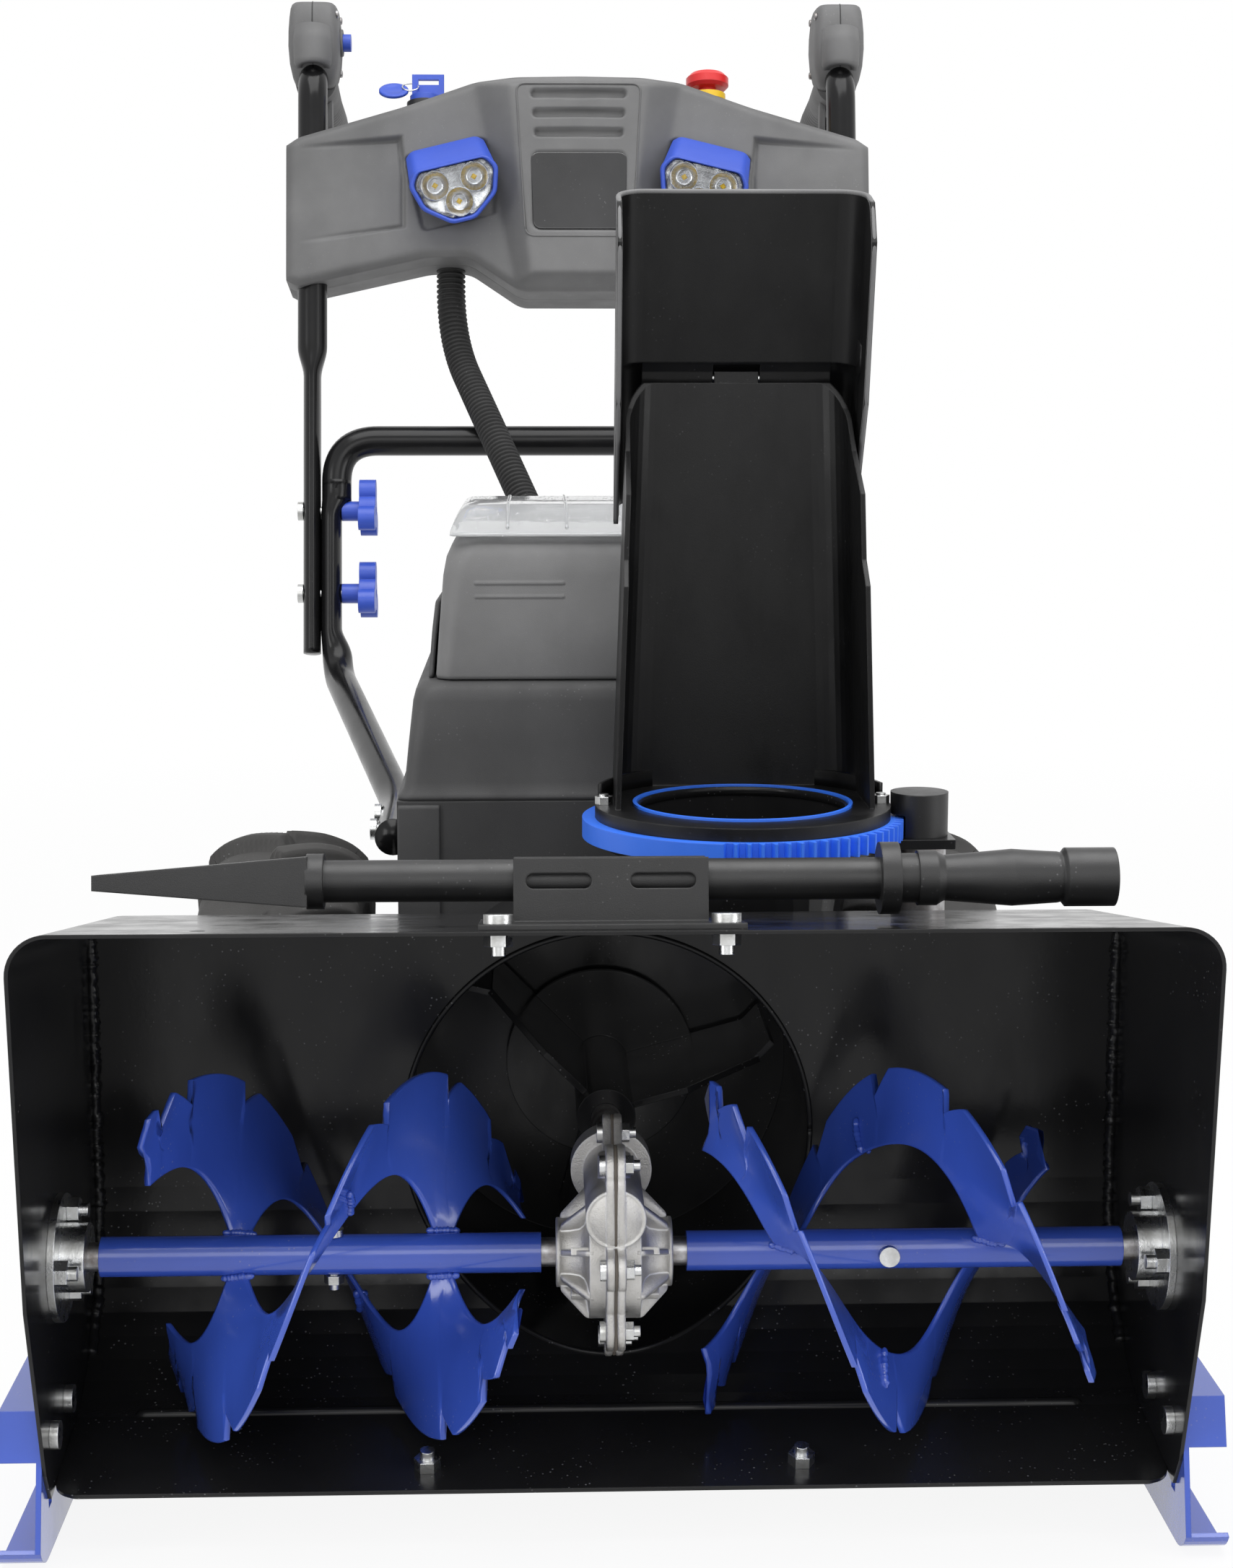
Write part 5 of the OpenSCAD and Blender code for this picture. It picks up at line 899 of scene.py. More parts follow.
def make_lid_pane():
    """Clear sloping window of the lid: an outer skin, an inner one 2.2 mm inside it, and four ridges along its top."""
    outer = [(88, 536, 660, 544.2, 14), (91.4, 529, 664.6, 543.2, 14), (94, 512, 668.6, 540, 14),
             (96.4, 490, 671.4, 535, 13), (98.6, 462, 673.6, 528.6, 12), (98.8, 455, 674, 525.8, 12)]
    inner = [(h - PANE_MM, f + PANE_MM, b - PANE_MM, max(z - PANE_MM, 525.8), r - 2) for h, f, b, z, r in outer]
    shell = lofted_box(outer + inner[::-1])
    y = np.linspace(470, 655, 40)
    z = np.interp(y, [455, 462, 490, 512, 529, 536, 700], [526, 528.6, 535, 540, 543.2, 544.2, 544.2])
    lines = [np.stack(np.broadcast_arrays(x, (y - HALF_L / MM) * MM, (z + 0.2) * MM), -1)
             for x in (-0.060, -0.020, 0.020, 0.060)]
    ridges = [swept_tube(line, 0.0012, 8) for line in lines]
    pane = make_piece("lid_pane", *joined([shell, *ridges]), "lid_set", lid_clear, "clear")
    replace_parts(pane, "lid_window")


HANDLE_X = 0.2455
HANDLE_TOP = 0.560
GRIP_ROOT = on_handle((HANDLE_X, 0, HANDLE_TOP))
GRIP_SIDES = 40
CHEEK_X = 0.0112
# Height, half width, half depth, middle and squareness of the grip housing's sections
GRIP_ROWS = np.array([
    (-0.013, 0.0150, 0.022, 0.036, 3.0), (-0.011, 0.0180, 0.026, 0.036, 3.4), (-0.004, 0.0206, 0.031, 0.037, 4.0),
    (0.008, 0.0230, 0.035, 0.038, 4.6), (0.024, 0.0240, 0.0375, 0.039, 5.0), (0.038, 0.0236, 0.037, 0.040, 5.4),
    (0.050, 0.0226, 0.0350, 0.040, 5.4), (0.0580, 0.0216, 0.0325, 0.040, 5.2), (0.0618, 0.0204, 0.0305, 0.040, 4.8),
    (0.0636, 0.0184, 0.0280, 0.040, 4.4), (0.0641, 0.0150, 0.0240, 0.040, 4.0)])
# Share of the way along the handle behind the housing, and its radius there
HANDLE_RADII = np.array([(0, 0.019), (0.15, 0.0195), (0.45, 0.0182), (0.75, 0.0186), (0.94, 0.0178), (0.97, 0.0165),
                         (0.99, 0.0142), (1.0, 0.010)])


def soft_section(half_x, half_y, power, count):
    """Rounded section x, y: a circle's cosine and sine raised to 2 / power, so that a higher power is squarer."""
    c, s = np.cos(turns(count)), np.sin(turns(count))
    return np.stack([half_x * np.sign(c) * np.abs(c) ** (2 / power),
                     half_y * np.sign(s) * np.abs(s) ** (2 / power)], -1)


def grip_parts(side):
    """Grip: a housing whose soft sections swell below its top, a round handle behind it, and cheeks for the lever."""
    y0, z0 = GRIP_ROOT[1:]
    housing = lofted(np.array([
        np.column_stack([soft_section(a, b, p, GRIP_SIDES) + [side * HANDLE_X, y0 + mid], np.full(GRIP_SIDES, z0 + up)])
        for up, a, b, mid, p in GRIP_ROWS]))
    ends = np.array([[side * HANDLE_X, y0 + 0.030, z0 - 0.006], [side * HANDLE_X, 0.699, z0 - 0.034]])
    t = np.linspace(0, 1, 120)
    path = ends[0] + (ends[1] - ends[0]) * t[:, None]
    radii = np.interp(t, HANDLE_RADII[:, 0], HANDLE_RADII[:, 1])
    grooved = np.clip((t - 0.34) * 40, 0, 1) * np.clip((0.90 - t) * 40, 0, 1)
    radii -= 0.0007 * np.clip(3 * np.cos(t * 150) - 1.4, 0, 1) * grooved
    handle = swept_tube(path, radii, 32)
    outline = eased_outline(np.array([[-9, -8], [9, -8], [9, 26], [-9, 26]]) * MM, 0.006)
    plate, faces = ringed(outline, [(0.9, -0.0026), (1.0, -0.0016), (1.0, 0.0016), (0.9, 0.0026)], (0, 0.009))
    cheeks = []
    for off in (-CHEEK_X, CHEEK_X):
        moved = np.stack([side * HANDLE_X + off + plate[:, 1], y0 + 0.052 + plate[:, 0], z0 - 0.042 + plate[:, 2]], -1)
        cheeks.append(facing_out(moved, faces))
    return [housing, handle, *cheeks]


def bored(piece, start, along, radius):
    """Cuts a round hole through a piece, from start along a vector, and keeps the cut mesh."""
    cut = bpy.data.meshes.new("bore")
    along = np.array(along, float)
    reach = np.linalg.norm(along)
    points, faces = turned([(0, radius), (reach, radius)], np.array(start), along, 32)
    cut.from_pydata(points.tolist(), [], [list(f) for f in faces])
    cutter = bpy.data.objects.new("bore", cut)
    scene.collection.objects.link(cutter)
    step = piece.modifiers.new("bore", "BOOLEAN")
    step.operation, step.solver, step.object = "DIFFERENCE", "EXACT", cutter
    bpy.context.view_layer.update()
    shaped = bpy.data.meshes.new_from_object(piece.evaluated_get(bpy.context.evaluated_depsgraph_get()))
    piece.modifiers.remove(step)
    work = bmesh.new()
    work.from_mesh(shaped)
    bmesh.ops.recalc_face_normals(work, faces=work.faces)
    work.to_mesh(shaped)
    work.free()
    old, piece.data = piece.data, shaped
    shaped.name = old.name + "_bored"
    bpy.data.objects.remove(cutter)
    bpy.data.meshes.remove(cut)


def make_grips():
    """Both grips in one piece, with the hole in which the lockout button slides."""
    piece = make_piece("grip_shells", *joined(grip_parts(-1) + grip_parts(1)), "machine", console_plastic_painted_sheen,
                       "grey_plastic")
    bored(piece, (-HANDLE_X + 0.004, GRIP_ROOT[1] + 0.038, GRIP_ROOT[2] + 0.030), (0.040, 0, 0), 0.0083)
    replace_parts(piece, "grips")


def make_grip_trim():
    """Seam down each housing's front, a collar round its tube, screws on the inner side and the button's ring."""
    up = unit(on_handle((0, 0, 1.0)) - on_handle((0, 0, 0.0)))
    seams, collars, screws = [], [], []
    height, wide, deep, mid = GRIP_ROWS[:, :4].T
    ring = [(0.004, 0.0105), (0.004, 0.0152), (0.0046, 0.0162), (0.008, 0.0174), (0.026, 0.0182), (0.040, 0.0176),
            (0.040, 0.0105)]
    head = [(-0.002, 0.0034), (0.0006, 0.0034), (0.0013, 0.0028), (0.0015, 0.0016), (0.0009, 0.0014)]
    for side in (-1, 1):
        root = GRIP_ROOT * [side, 1, 1]
        line = root + np.stack([0 * height, mid - deep - 0.0001, height], -1)[2:]
        seams.append(swept_tube(line, 0.0005, 8))
        collars.append(turned(ring, root, up, 40, closed=True))
        for depth, high in ((0.016, 0.053), (0.060, 0.053), (0.056, 0.004)):
            place = root + [-side * np.interp(high, height, wide), depth, high]
            screws.append(turned(head, place, (-side, 0, 0), 18))
    button = [(0, 0.0087), (0.0030, 0.0087), (0.0035, 0.0093), (0.0035, 0.0118), (0.0028, 0.0124), (0, 0.0124)]
    place = GRIP_ROOT * [-1, 1, 1] + [0.0225, 0.038, 0.030]
    collars.append(turned(button, place, (1, 0, 0), 36, closed=True))
    make_piece("grip_seams", *joined(seams), "machine", tool_plastic, "black_plastic")
    make_piece("grip_collars", *joined(collars), "machine", console_plastic_painted_sheen, "grey_plastic")
    make_piece("grip_screws", *joined(screws), "machine", bare_steel, "steel")


make_hood()
make_lid()
make_lid_pane()
make_grips()
make_grip_trim()

# Tyres: a section carried round the axle, with lugs raised by a mask of slanting bars
TYRE_R = (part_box("tyres")[1][2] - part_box("tyres")[0][2]) / 2
TYRE_HALF = 0.0541
TYRE_BORE = 0.0755
TYRE_STEPS = 560
TYRE_COLS = 72
WALL_MARKS = 72
HAIRS = 70
TRACK = 0.213
AXLE = np.array([0, 0.462 - HALF_L, 0.162])
LUGS = 14
LUG_LEAN = math.radians(28)
LUG_HALF = 0.0086
LUG_SLOPE = 0.0022
SECTION = np.array([[-33, 76], [-38.5, 79], [-43, 83], [-47.5, 89], [-51.5, 99], [-53.6, 110], [-54.3, 120],
                    [-53.4, 129], [-50.5, 136], [-45, 141.4], [-38.5, 145], [-30, 147.8], [-20, 149.6], [-10, 150.6],
                    [0, 151]]) * MM


def tyre_section(count):
    """Section across the tyre, x and radius: the left half's points and their mirror, eased and evenly spaced."""
    p = np.vstack([SECTION, SECTION[-2::-1] * [-1, 1]])
    run = np.r_[0, np.cumsum(np.linalg.norm(np.diff(p, axis=0), axis=1))]
    s = np.linspace(0, run[-1], count)
    even = np.stack([np.interp(s, run, p[:, k]) for k in (0, 1)], -1)
    for _ in range(3):
        even[1:-1] = (even[:-2] + 2 * even[1:-1] + even[2:]) / 4
    return even


def lug_share(angle, x):
    """1 on the lugs and 0 between them: bars leaning 28 degrees, half a pitch apart on the tyre's two halves."""
    pitch = 2 * math.pi / LUGS
    c, s = math.cos(LUG_LEAN), math.sin(LUG_LEAN)
    best = np.zeros_like(angle)
    for way, shift in ((1, 0.0), (-1, 0.5)):
        for step in (-1, 0, 1):
            t = ((angle / pitch - shift + 0.5) % 1 - 0.5 + step) * pitch * TYRE_R
            across, along = t * c + way * x * s, way * x * c - t * s
            best = np.maximum(best, ramp(LUG_HALF - np.abs(across), LUG_SLOPE) * ramp(along + 0.004, 0.002))
    return best * best * (3 - 2 * best)


def lug_height(section):
    """Height of the lugs at each point of the section: full on the tread, falling to none low on the walls."""
    x, r = np.abs(section[:, 0]), section[:, 1]
    tall = np.interp(x, [0, 0.022, 0.038, 0.050, 0.0535], [0.0108, 0.0110, 0.0096, 0.0074, 0.0])
    shoulder = tall[np.argmin(abs(r - 0.133))]
    return np.where(r > 0.131, tall, np.interp(r, [0.118, 0.131], [0, shoulder]))


def make_tyres():
    """Tyre: p = axle + (x, r sin a, -r cos a); x and r move out along the section's normal by the height of the lugs.

    Marks and two thin ribs are raised on the walls in the same way, and a bore closes the tyre inside."""
    section = tyre_section(TYRE_COLS)
    a = turns(TYRE_STEPS)[:, None]
    x, r = section[None, :, 0], section[None, :, 1]
    way = unit(np.gradient(section, axis=0))
    grid = (TYRE_STEPS, TYRE_COLS)
    lift = lug_height(section)[None, :] * lug_share(np.broadcast_to(a, grid), np.broadcast_to(x, grid))
    lift += 0.0007 * np.clip(np.cos(a * WALL_MARKS) * 3, 0, 1) * ramp(r - 0.096, 0.002) * ramp(0.112 - r, 0.002)
    lift += 0.0009 * np.exp(-((r - 0.0925) / 0.0012) ** 2) + 0.0008 * np.exp(-((r - 0.1155) / 0.0010) ** 2)
    rx, rr = x - lift * way[None, :, 1], r + lift * way[None, :, 0]
    wide = np.clip(np.abs(rx) - TYRE_HALF, 0, None) * np.sign(rx)
    points = np.stack([rx - wide, rr * np.sin(a), -rr * np.cos(a)], -1)
    faces = grid_faces(TYRE_STEPS + 1, TYRE_COLS, False) % points[..., 0].size
    bore = np.stack([np.broadcast_to(x[:, [0, -1]], (TYRE_STEPS, 2)), TYRE_BORE * np.sin(a) * [1, 1],
                     -TYRE_BORE * np.cos(a) * [1, 1]], -1)
    k = np.arange(TYRE_STEPS)
    left, right = k * TYRE_COLS, (k + 1) * TYRE_COLS - 1
    low = points[..., 0].size + 2 * k
    bands = [np.stack([p, q, np.roll(q, -1), np.roll(p, -1)], -1)
             for p, q in ((left, low), (low + 1, right), (low, low + 1))]
    faces = [tuple(f) for f in np.vstack([faces, *bands])]
    tyre, faces = facing_out(np.vstack([points.reshape(-1, 3), bore.reshape(-1, 3)]), faces)
    both = [(tyre + AXLE + [TRACK, 0, 0], faces), (tyre * [-1, 1, 1] + AXLE - [TRACK, 0, 0], [f[::-1] for f in faces])]
    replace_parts(make_piece("tyre_pair", *joined(both), "wheels", tyre_rubber, "tyre_rubber"), "tyres")


def make_tyre_hairs():
    """Thin bent hairs of rubber that the mould leaves on the tyres' shoulders."""
    rng = np.random.default_rng(31)
    t = np.linspace(0, 1, 4)
    hairs = []
    for side in (-1, 1):
        for turn, lean, off in zip(rng.uniform(0, 2 * math.pi, HAIRS), rng.uniform(-0.5, 0.5, HAIRS),
                                   rng.choice([-0.047, -0.043, 0.043, 0.047], HAIRS)):
            foot = 0.1395 + 0.004 * (abs(off) < 0.045)
            r, a = foot - 0.001 + 0.0065 * t, turn + lean * 0.05 * t ** 2
            path = np.stack([side * TRACK + off * (1 + 0.09 * t), r * np.sin(a), -r * np.cos(a)], -1)
            hairs.append(swept_tube(path + AXLE, 0.0005 * (1 - 0.6 * t), 4))
    make_piece("tyre_hairs", *joined(hairs), "wheels", tyre_rubber, "tyre_rubber")


make_tyres()
make_tyre_hairs()

# Other forms on the machine

# Chute and deflector
HINGE = np.array([0.087, 0.392 - HALF_L, 0.630])
DEFLECTOR_LEAN = math.radians(16)
CHUTE_AXIS = np.array([0.087, 0.314 - HALF_L, 0])
# Bucket: its rear sheet, the welds, the floor's rib and the mouth of the impeller drum
SHEET_Y = 0.114
SHEET_R = 0.110
SHEET_DROP = 0.1099
WELD_LOW = 0.066
WELD_HIGH = 0.312
WELD_R = 0.0030
WELD_STEPS = 190
FLOOR_RIB_HALF = 0.272
FLOOR_RIB_R = 0.0036
DRUM_Z = 0.185
MOUTH_R = 0.1215
# Gearbox: its flange, screws and fins
FLANGE_R = 0.042
FLANGE_RISE = 0.010
GEARBOX_SCREWS = np.array([[-44, 5], [44, 5], [-32, -34], [32, -34], [0, -49], [-28, 58], [32, 58]]) * MM
SCREW_BOSS_R = 0.009
FIN_ANGLES = (18, 62, 118, 162, 205, 248, 292, 335)
# Key tag, battery packs and frame tubes
TAG_TIP = math.radians(58)
BATTERY_X = 0.048
FRAME_R = 0.0135
FRAME_SIDES = 28
FRAME_STEP = 0.004
BEND_X = 0.228 - 0.004 - 0.0008
UPRIGHT = (0.576 - HANDLE_FOOT[1]) / math.cos(HANDLE_LEAN)
GRIP_DROP = math.radians(10)


def on_deflector(points):
    """Points in the deflector's own frame, leaned forward and carried to its hinge."""
    p = np.asarray(points, float)
    c, s = math.cos(DEFLECTOR_LEAN), math.sin(DEFLECTOR_LEAN)
    return HINGE + np.stack([p[..., 0], p[..., 1] * c - p[..., 2] * s, p[..., 1] * s + p[..., 2] * c], -1)


def flat_plate(outline, across, thick, ease):
    """Plate with eased edges: an outline in y and z, thick along x about across."""
    rows = [(0.985, -thick / 2), (1.0, ease - thick / 2), (1.0, thick / 2 - ease), (0.985, thick / 2)]
    points, faces = ringed(outline, rows, outline.mean(axis=0))
    return facing_out(np.stack([across + points[:, 1], points[:, 0], points[:, 2]], -1), faces)


def wall_strip(line, thick):
    """Closed outline of a wall along a line in x and y: the line and the same line moved in along its normal."""
    way = unit(np.gradient(line, axis=0))
    return np.vstack([line, (line - thick * np.stack([-way[:, 1], way[:, 0]], -1))[::-1]])


def make_chute_details():
    """Deflector's rear wall below its hinge, the chute's round foot, and the black lip inside the blue collar."""
    low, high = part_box("deflector")
    half = (high[0] - low[0]) / 2 - 0.0014
    a = np.linspace(0, math.pi / 2, 12)
    corner = np.stack([-half + 0.016 - 0.016 * np.cos(a), -0.008 + 0.016 * np.sin(a)], -1)
    line = np.vstack([[[-half, -0.024]], corner, [[0, 0.008]], corner[::-1] * [-1, 1], [[half, -0.024]]])
    outline = wall_strip(line, 0.0022)
    levels = ((-0.084, 0), (-0.0835, 0.0003), (-0.05, 0.0004), (0.002, 0), (0.008, -0.0055), (0.014, -0.0108),
              (0.030, -0.0108))
    wall = np.array([np.column_stack([outline + [0, back], np.full(len(outline), up)]) for up, back in levels])
    make_piece("deflector_rear_wall", *lofted(on_deflector(wall)), "deflector_set", chute_plastic, "black_plastic")
    a = np.linspace(math.radians(10), math.radians(170), 64)[:, None]
    r, z = np.array([(0.0885, 0.3665), (0.0912, 0.3665), (0.0912, 0.3780), (0.0885, 0.3780)]).T
    foot = np.stack(np.broadcast_arrays(np.cos(a) * r, np.sin(a) * r, z), -1)
    make_piece("chute_foot", *lofted(foot + CHUTE_AXIS), "chute_set", chute_plastic, "black_plastic")
    lip = [(0.3625, 0.0636), (0.3672, 0.0636), (0.3680, 0.0642), (0.3682, 0.0652), (0.3678, 0.0658), (0.3645, 0.0658),
           (0.3625, 0.0650)]
    ring = turned(lip, CHUTE_AXIS, (0, 0, 1), 64, closed=True)
    make_piece("neck_lip", *ring, "machine", black_paint, "black_paint")


def make_hood_cheeks():
    """Low side walls of the hood on both sides of the battery lid."""
    corners = np.array([[452, 430.5], [668, 430.5], [664, 474], [512, 478], [476, 462]]) * MM - [HALF_L, 0]
    points, faces = flat_plate(eased_outline(corners, 0.008), 0.0, 0.0034, 0.0012)
    reach = (0.1118 - 0.06 * (points[:, 2] - 0.4305))[:, None] * [1, 0, 0]
    plates = [(points + side * reach, faces) for side in (-1, 1)]
    make_piece("hood_cheeks", *joined(plates), "machine", hood_plastic, "black_plastic")


def sheet_depth(z):
    """How far back the bucket's rear sheet lies at a height: flat above the auger's axle, an arc of 110 mm below it."""
    drop = np.clip(AUGER_AXIS[2] - z, 0, SHEET_DROP)
    return SHEET_Y + np.sqrt(SHEET_R ** 2 - drop ** 2) - HALF_L


def make_bucket_seams():
    """Welds up both rear corners, a pressed rib along the floor's bend and the rolled lip of the drum's mouth."""
    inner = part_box("bucket_back")[1][0]
    parts = []
    rng = np.random.default_rng(7)
    for side in (-1, 1):
        z = np.linspace(WELD_LOW, WELD_HIGH, WELD_STEPS)
        wander = np.convolve(rng.normal(0, 0.0009, WELD_STEPS), np.ones(3) / 3, "same")
        path = np.stack([side * (inner - 0.0012 + wander), sheet_depth(z) - 0.0012, z], -1)
        parts.append(swept_tube(path, WELD_R + 0.9 * np.abs(rng.normal(0, 0.0008, WELD_STEPS)), BEAD_SIDES))
    t = np.linspace(0, 1, 60)
    reach = FLOOR_RIB_HALF * np.sin((t - 0.5) * math.pi)
    rib = np.stack(np.broadcast_arrays(reach, 0.1400 - HALF_L, 0.0450), -1)
    parts.append(swept_tube(rib, FLOOR_RIB_R * np.clip(np.cos((t - 0.5) * math.pi) * 6, 0.15, 1), 14))
    a = np.linspace(0, 2 * math.pi, 181)
    x, z = MOUTH_R * np.cos(a), DRUM_Z + MOUTH_R * np.sin(a)
    parts.append(swept_tube(np.stack([x, sheet_depth(z) - 0.0002, z], -1), 0.0017, 10))
    make_piece("bucket_seams", *joined(parts), "machine", black_paint, "black_paint")


def make_gearbox_forms():
    """Hollow cones and fins that carry the halves into their bosses, two flange rims and the gasket between them.

    A rim's outline is polar: at each angle, the farthest point inside the flange's circle, box and screw bosses."""
    parts = []
    cone = np.array([[12.5, 34.6], [13.4, 34.4], [14.2, 32.6], [15.0, 27.0], [16.4, 22.6], [19.0, 19.8], [24, 18.6],
                     [29.6, 18.2], [29.8, 19.0], [31.6, 18.9], [31.9, 18.2], [32.0, 14.0]]) * MM
    fin = eased_outline(np.array([[11, 17], [11, 36.2], [15.5, 35.8], [29.5, 21.0], [29.5, 17]]) * MM, 0.0016, 5)
    plate, faces = ringed(fin, [(0.96, -0.0015), (1.0, -0.0009), (1.0, 0.0009), (0.96, 0.0015)], fin.mean(axis=0))
    x, t, r = plate.T
    for side in (-1, 1):
        parts.append(turned(cone, AUGER_AXIS, (side, 0, 0), 56))
        for a in np.radians(FIN_ANGLES):
            points = np.stack([side * x, r * np.cos(a) - t * np.sin(a), r * np.sin(a) + t * np.cos(a)], -1)
            parts.append(facing_out(points + AUGER_AXIS, faces))
    end = np.array([[0.3, 16.4], [-0.9, 16.4], [-1.3, 16.0], [-1.3, 14.9], [-0.6, 14.6], [-0.6, 14.3], [-1.1, 13.9],
                    [-1.1, 0.4]]) * MM
    parts.append(turned(end, np.array([0, 0.062 - HALF_L, DRUM_Z]), (0, 1, 0), 48))
    angle = turns(180)[:, None]
    reach = np.linspace(0.020, 0.085, 400)[None, :]
    y, z = reach * np.cos(angle), FLANGE_RISE + reach * np.sin(angle)
    held = (np.hypot(y, z) < FLANGE_R) | ((np.abs(y - 0.003) < 0.043) & (np.abs(z - 0.032) < 0.022))
    for sy, sz in GEARBOX_SCREWS:
        held |= np.hypot(y - sy, z - sz) < SCREW_BOSS_R
    far = np.max(np.where(held, reach, 0), axis=1)
    far = np.max([np.roll(far, k) for k in (-1, 0, 1)], axis=0)
    way = np.stack([np.cos(angle[:, 0]), np.sin(angle[:, 0])], -1)
    centre = AUGER_AXIS[1:] + [0, FLANGE_RISE]
    rims = [flat_plate(centre + way * (far + 0.0014)[:, None], side * 0.0030, 0.0046, 0.0009) for side in (-1, 1)]
    make_piece("gearbox_forms", *joined(parts + rims), "machine", gearbox_metal, "cast_metal")
    gasket = flat_plate(centre + way * (far + 0.0010)[:, None], 0.0, 0.0018, 0.0003)
    make_piece("gearbox_gasket", *gasket, "machine", gasket_card, "cast_metal")


def make_key_tag():
    """Round tag and wire ring on the key's plate: the tag hangs beside the key, tipped towards the front."""
    low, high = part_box("key")
    base = np.array([-0.143, (low[1] + high[1]) / 2, low[2] + 0.024])
    c, s = math.cos(TAG_TIP), math.sin(TAG_TIP)
    disc = [(-0.0016, 0.0130), (-0.0010, 0.0138), (0.0010, 0.0138), (0.0016, 0.0130), (0.0017, 0.0098),
            (0.0011, 0.0090), (0.0011, 0.0004)]
    tag = turned(disc, np.zeros(3), (0, 0, 1), 48)
    a = np.linspace(0, 2 * math.pi, 49)
    wire = swept_tube(np.stack([0.0075 * np.cos(a), 0.0075 * np.sin(a), 0 * a], -1), 0.0008, 8)
    tilt = np.array([[1, 0, 0], [0, s, c], [0, -c, s]])
    make_piece("key_tag", tag[0] @ tilt + base + [-0.0290, -0.004, 0.0035], tag[1], "switch_key", blue_plastic,
               "blue_plastic")
    make_piece("key_wire", wire[0] @ tilt + base + [-0.0135, -0.001, 0.0075], wire[1], "switch_key", zinc, "zinc")


def make_chassis_trim():
    """Chassis: corner strips in front, a louvred rear cover with screws, and a rolled lower edge."""
    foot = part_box("chassis")[0][2] / MM
    strip = lofted_box([(13.6, 416.4, 419, foot + 20, 1), (14, 415.8, 419, foot + 22, 1), (14, 415.8, 419, 348, 1),
                        (13.6, 416.4, 419, 350.5, 1)])
    cover = [(96, 703, 706.2, 128, 1), (97.5, 703, 707.4, 131, 1.6), (97.5, 703, 707.4, 322, 1.6),
             (96, 703, 706.2, 325, 1)]
    slats = [[(62, 706, 708.2, z, 0.9), (62, 706, 710.4, z + 2.2, 1.2), (62, 706, 710.8, z + 4.0, 1.2),
              (62, 706, 708.0, z + 5.6, 0.9)] for z in range(196, 290, 13)]
    edge = [(135, 416.8, 705.2, foot - 0.2, 4), (136, 415.8, 706.2, foot + 1.6, 4.6),
            (136, 415.8, 706.2, foot + 6, 4.6), (134.6, 417.2, 704.8, foot + 8, 4)]
    trim = [beside(strip, x) for x in (-0.1195, 0.1195)] + [lofted_box(rows) for rows in (cover, *slats, edge)]
    make_piece("chassis_trim", *joined(trim), "machine", hood_plastic, "black_plastic")
    head = [(-0.001, 0.0060), (0.0022, 0.0060), (0.0032, 0.0052), (0.0034, 0.0022), (0.0024, 0.0020), (0.0024, 0.0003)]
    heads = [turned(head, np.array([x, 0.7074 - HALF_L, z]), (0, 1, 0), 20)
             for x in (-0.085, 0.085) for z in (0.141, 0.312)]
    make_piece("chassis_screws", *joined(heads), "machine", bare_steel, "steel")


def make_batteries():
    """Battery packs: round-edged cases with three bands round them, a raised top and a latch in front."""
    rows = [(40.2, 476.8, 645.2, 431.2, 7), (41, 476, 646, 432.6, 8)]
    for z in (446, 458, 470):
        rows += [(41, 476, 646, z, 8), (40, 477, 645, z + 0.9, 7.4), (40, 477, 645, z + 2.9, 7.4),
                 (41, 476, 646, z + 3.8, 8)]
    rows += [(41, 476, 646, 500, 8), (40.2, 476.8, 645.2, 504, 8), (38, 479, 643, 506.6, 8), (33, 484, 638, 507.4, 8),
             (32.4, 484.6, 637.4, 512.6, 8), (31.2, 486, 636, 514.4, 8), (29, 488, 634, 514.9, 8)]
    latch = [(11, 474.6, 480, 484, 1.4), (12, 473.2, 480, 485.2, 1.8), (12, 472.6, 480, 494, 1.8),
             (11, 474, 480, 496, 1.4)]
    cases, latches = ([beside(lofted_box(part), x) for x in (-BATTERY_X, BATTERY_X)] for part in (rows, latch))
    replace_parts(make_piece("battery_cases", *joined(cases), "machine", console_plastic_painted_sheen, "grey_plastic"), "batteries")
    make_piece("battery_latches", *joined(latches), "machine", blue_plastic, "blue_plastic")


def pressed_tube(path, wide, deep):
    """Tube whose section is an oval: wide across x and deep along the third axis, both square to the path."""
    way = unit(np.gradient(path, axis=0))
    side = unit(np.array([1.0, 0, 0]) - way[:, :1] * way)
    third = np.cross(way, side)
    a = turns(FRAME_SIDES)[None, :, None]
    across, through = wide[:, None, None] * np.cos(a) * side[:, None], deep[:, None, None] * np.sin(a) * third[:, None]
    return lofted(path[:, None] + across + through)


def eased_step(value, low, high):
    """0 below low, 1 above high and a smooth rise between."""
    t = np.clip((value - low) / (high - low), 0, 1)
    return t * t * (3 - 2 * t)


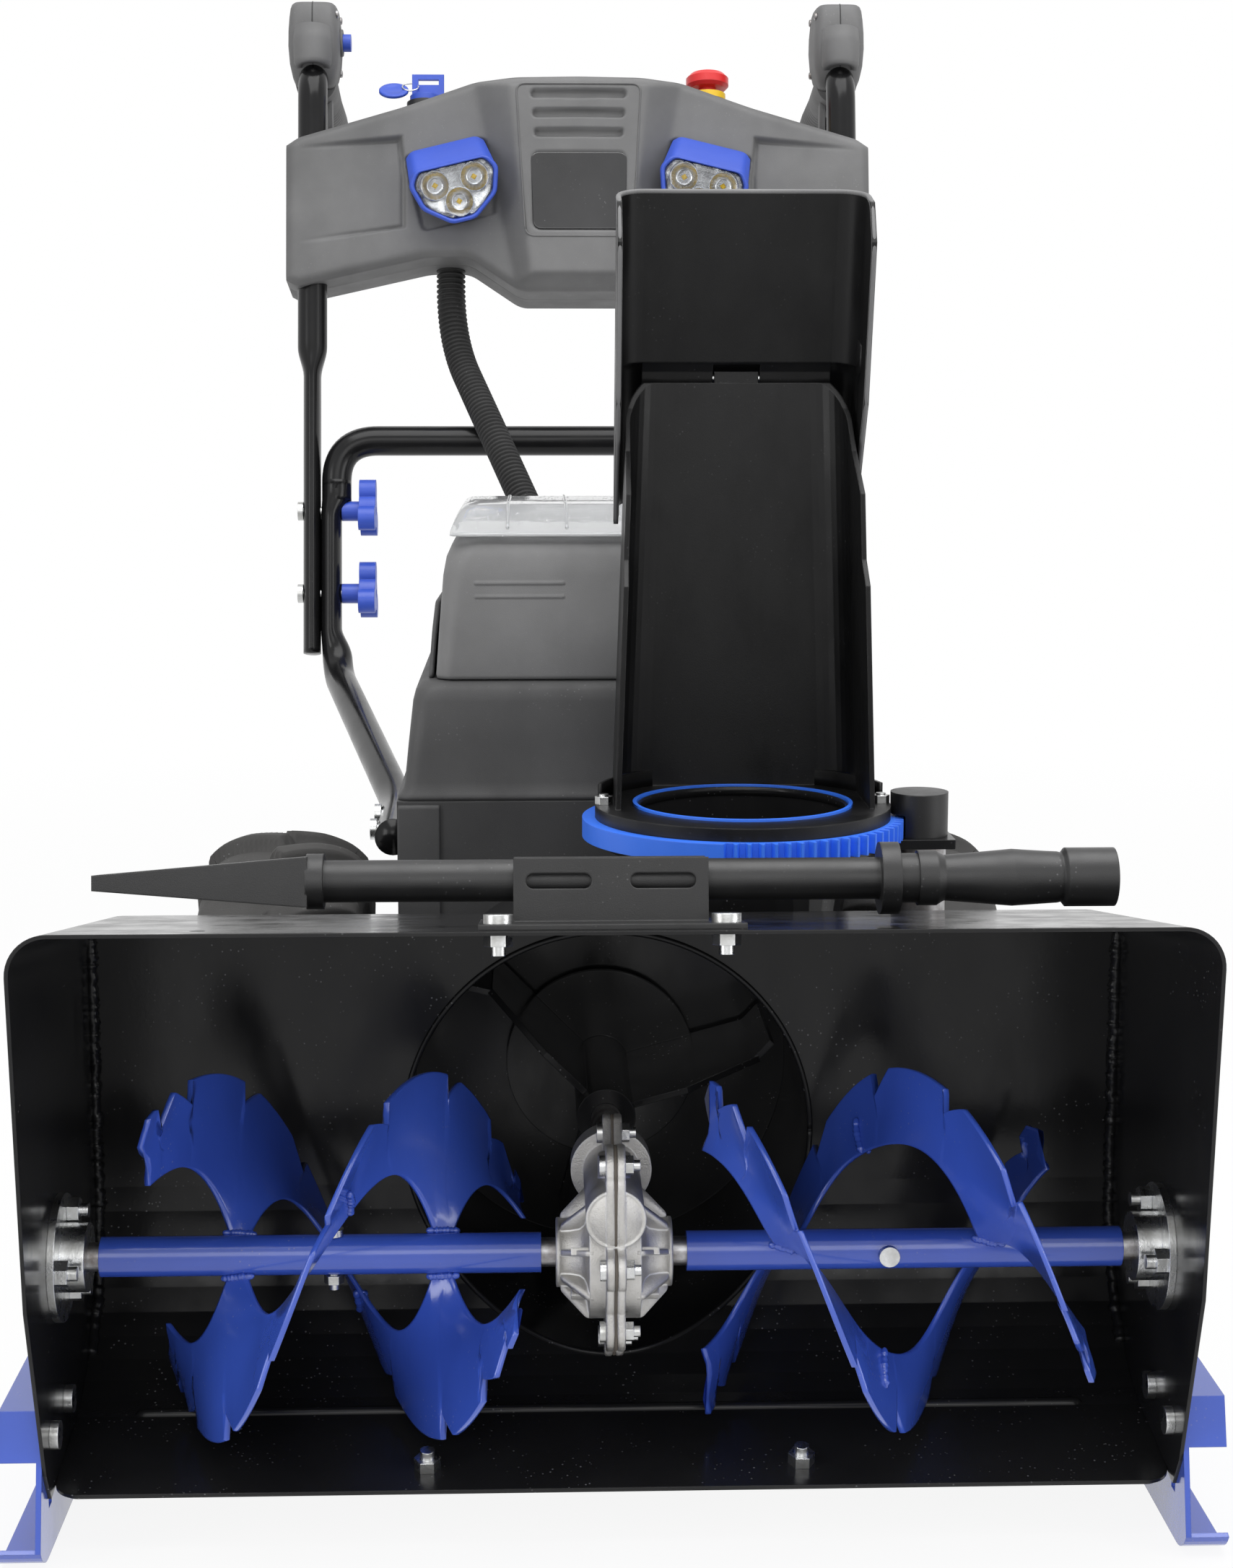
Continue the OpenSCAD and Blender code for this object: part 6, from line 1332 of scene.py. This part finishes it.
def make_frame_tubes():
    """Lower frame and upper handle tubes: round runs that are pressed into ovals where the clamps hold them."""
    parts, uppers = [], []
    top = UPRIGHT - 0.050
    for side in (-1, 1):
        leg = [np.array([side * 0.1475, y - HALF_L, z]) for y, z in ((0.600, 0.296), (0.706, 0.300))]
        upright = [on_handle((side * BEND_X, 0, z)) for z in (0, top + 0.012)]
        route, _ = rounded_route(np.array([*leg, *upright]), 0.036, FRAME_STEP)
        rise = (route[:, 2] - HANDLE_FOOT[1]) / math.cos(HANDLE_LEAN)
        press = eased_step(rise, 0.012, 0.040) * (1 - eased_step(rise, top - 0.022, top + 0.004))
        route = route + side * 0.0048 * press[:, None] * [1, 0, 0]
        parts.append(pressed_tube(route, FRAME_R - 0.0040 * press, FRAME_R + 0.0025 * press))
        ends = [on_handle((side * HANDLE_X, 0, up)) for up in (0.017, HANDLE_TOP)]
        back = ends[1] + 0.062 * np.array([0, math.cos(GRIP_DROP), -math.sin(GRIP_DROP)])
        route, _ = rounded_route(np.array([*ends, back]), 0.028, FRAME_STEP)
        rise = np.linalg.norm(route - ends[0], axis=1) + 0.017
        press = 1 - eased_step(rise, 0.272, 0.300)
        uppers.append(pressed_tube(route, FRAME_R - 0.0055 * press, FRAME_R + 0.0025 * press))
    loop = [(BEND_X, 0, top - 0.006), (BEND_X, 0, UPRIGHT), (-BEND_X, 0, UPRIGHT), (-BEND_X, 0, top - 0.006)]
    route, _ = rounded_route(on_handle(loop), 0.038, FRAME_STEP)
    parts.append(swept_tube(route, FRAME_R, FRAME_SIDES))
    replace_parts(make_piece("frame_tube", *joined(parts), "machine", tube_paint, "tube_paint"), "lower_frame")
    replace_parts(make_piece("handle_tube_pair", *joined(uppers), "machine", tube_paint, "tube_paint"), "handle_tubes")


def make_deflector_rim():
    """Bead along the deflector's free edges: up each side wall's front edge and over the rounded top, painted grey as a
    highlight along the black edge.
    """
    low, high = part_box("deflector")
    half = (high[0] - low[0]) / 2
    wall = half - 0.0015
    corners = np.array([[-wall, -0.0275, -0.0865], [-wall, -0.0570, 0], [-wall, -0.0570, 0.0995],
                        [-wall, -0.0378, 0.1192], [-wall, -0.0220, 0.1192]])
    edge = rounded_route(corners, 0.006, 0.003)[0]
    a = np.linspace(0, math.pi / 2, 12)
    bend = np.stack([-(half - 0.018) - 0.0165 * np.cos(a), -0.022 + 0.0165 * np.sin(a), np.full(12, 0.1192)], -1)
    near = np.vstack([edge, bend[1:]])
    path = on_deflector(np.vstack([near, near[::-1] * [-1, 1, 1]]))
    make_piece("deflector_rim", *swept_tube(path, 0.0017, 12), "deflector_set", rim_painted_highlight, "black_plastic")


make_chute_details()
make_hood_cheeks()
make_bucket_seams()
make_gearbox_forms()
make_key_tag()
make_frame_tubes()
make_chassis_trim()
make_batteries()
make_deflector_rim()
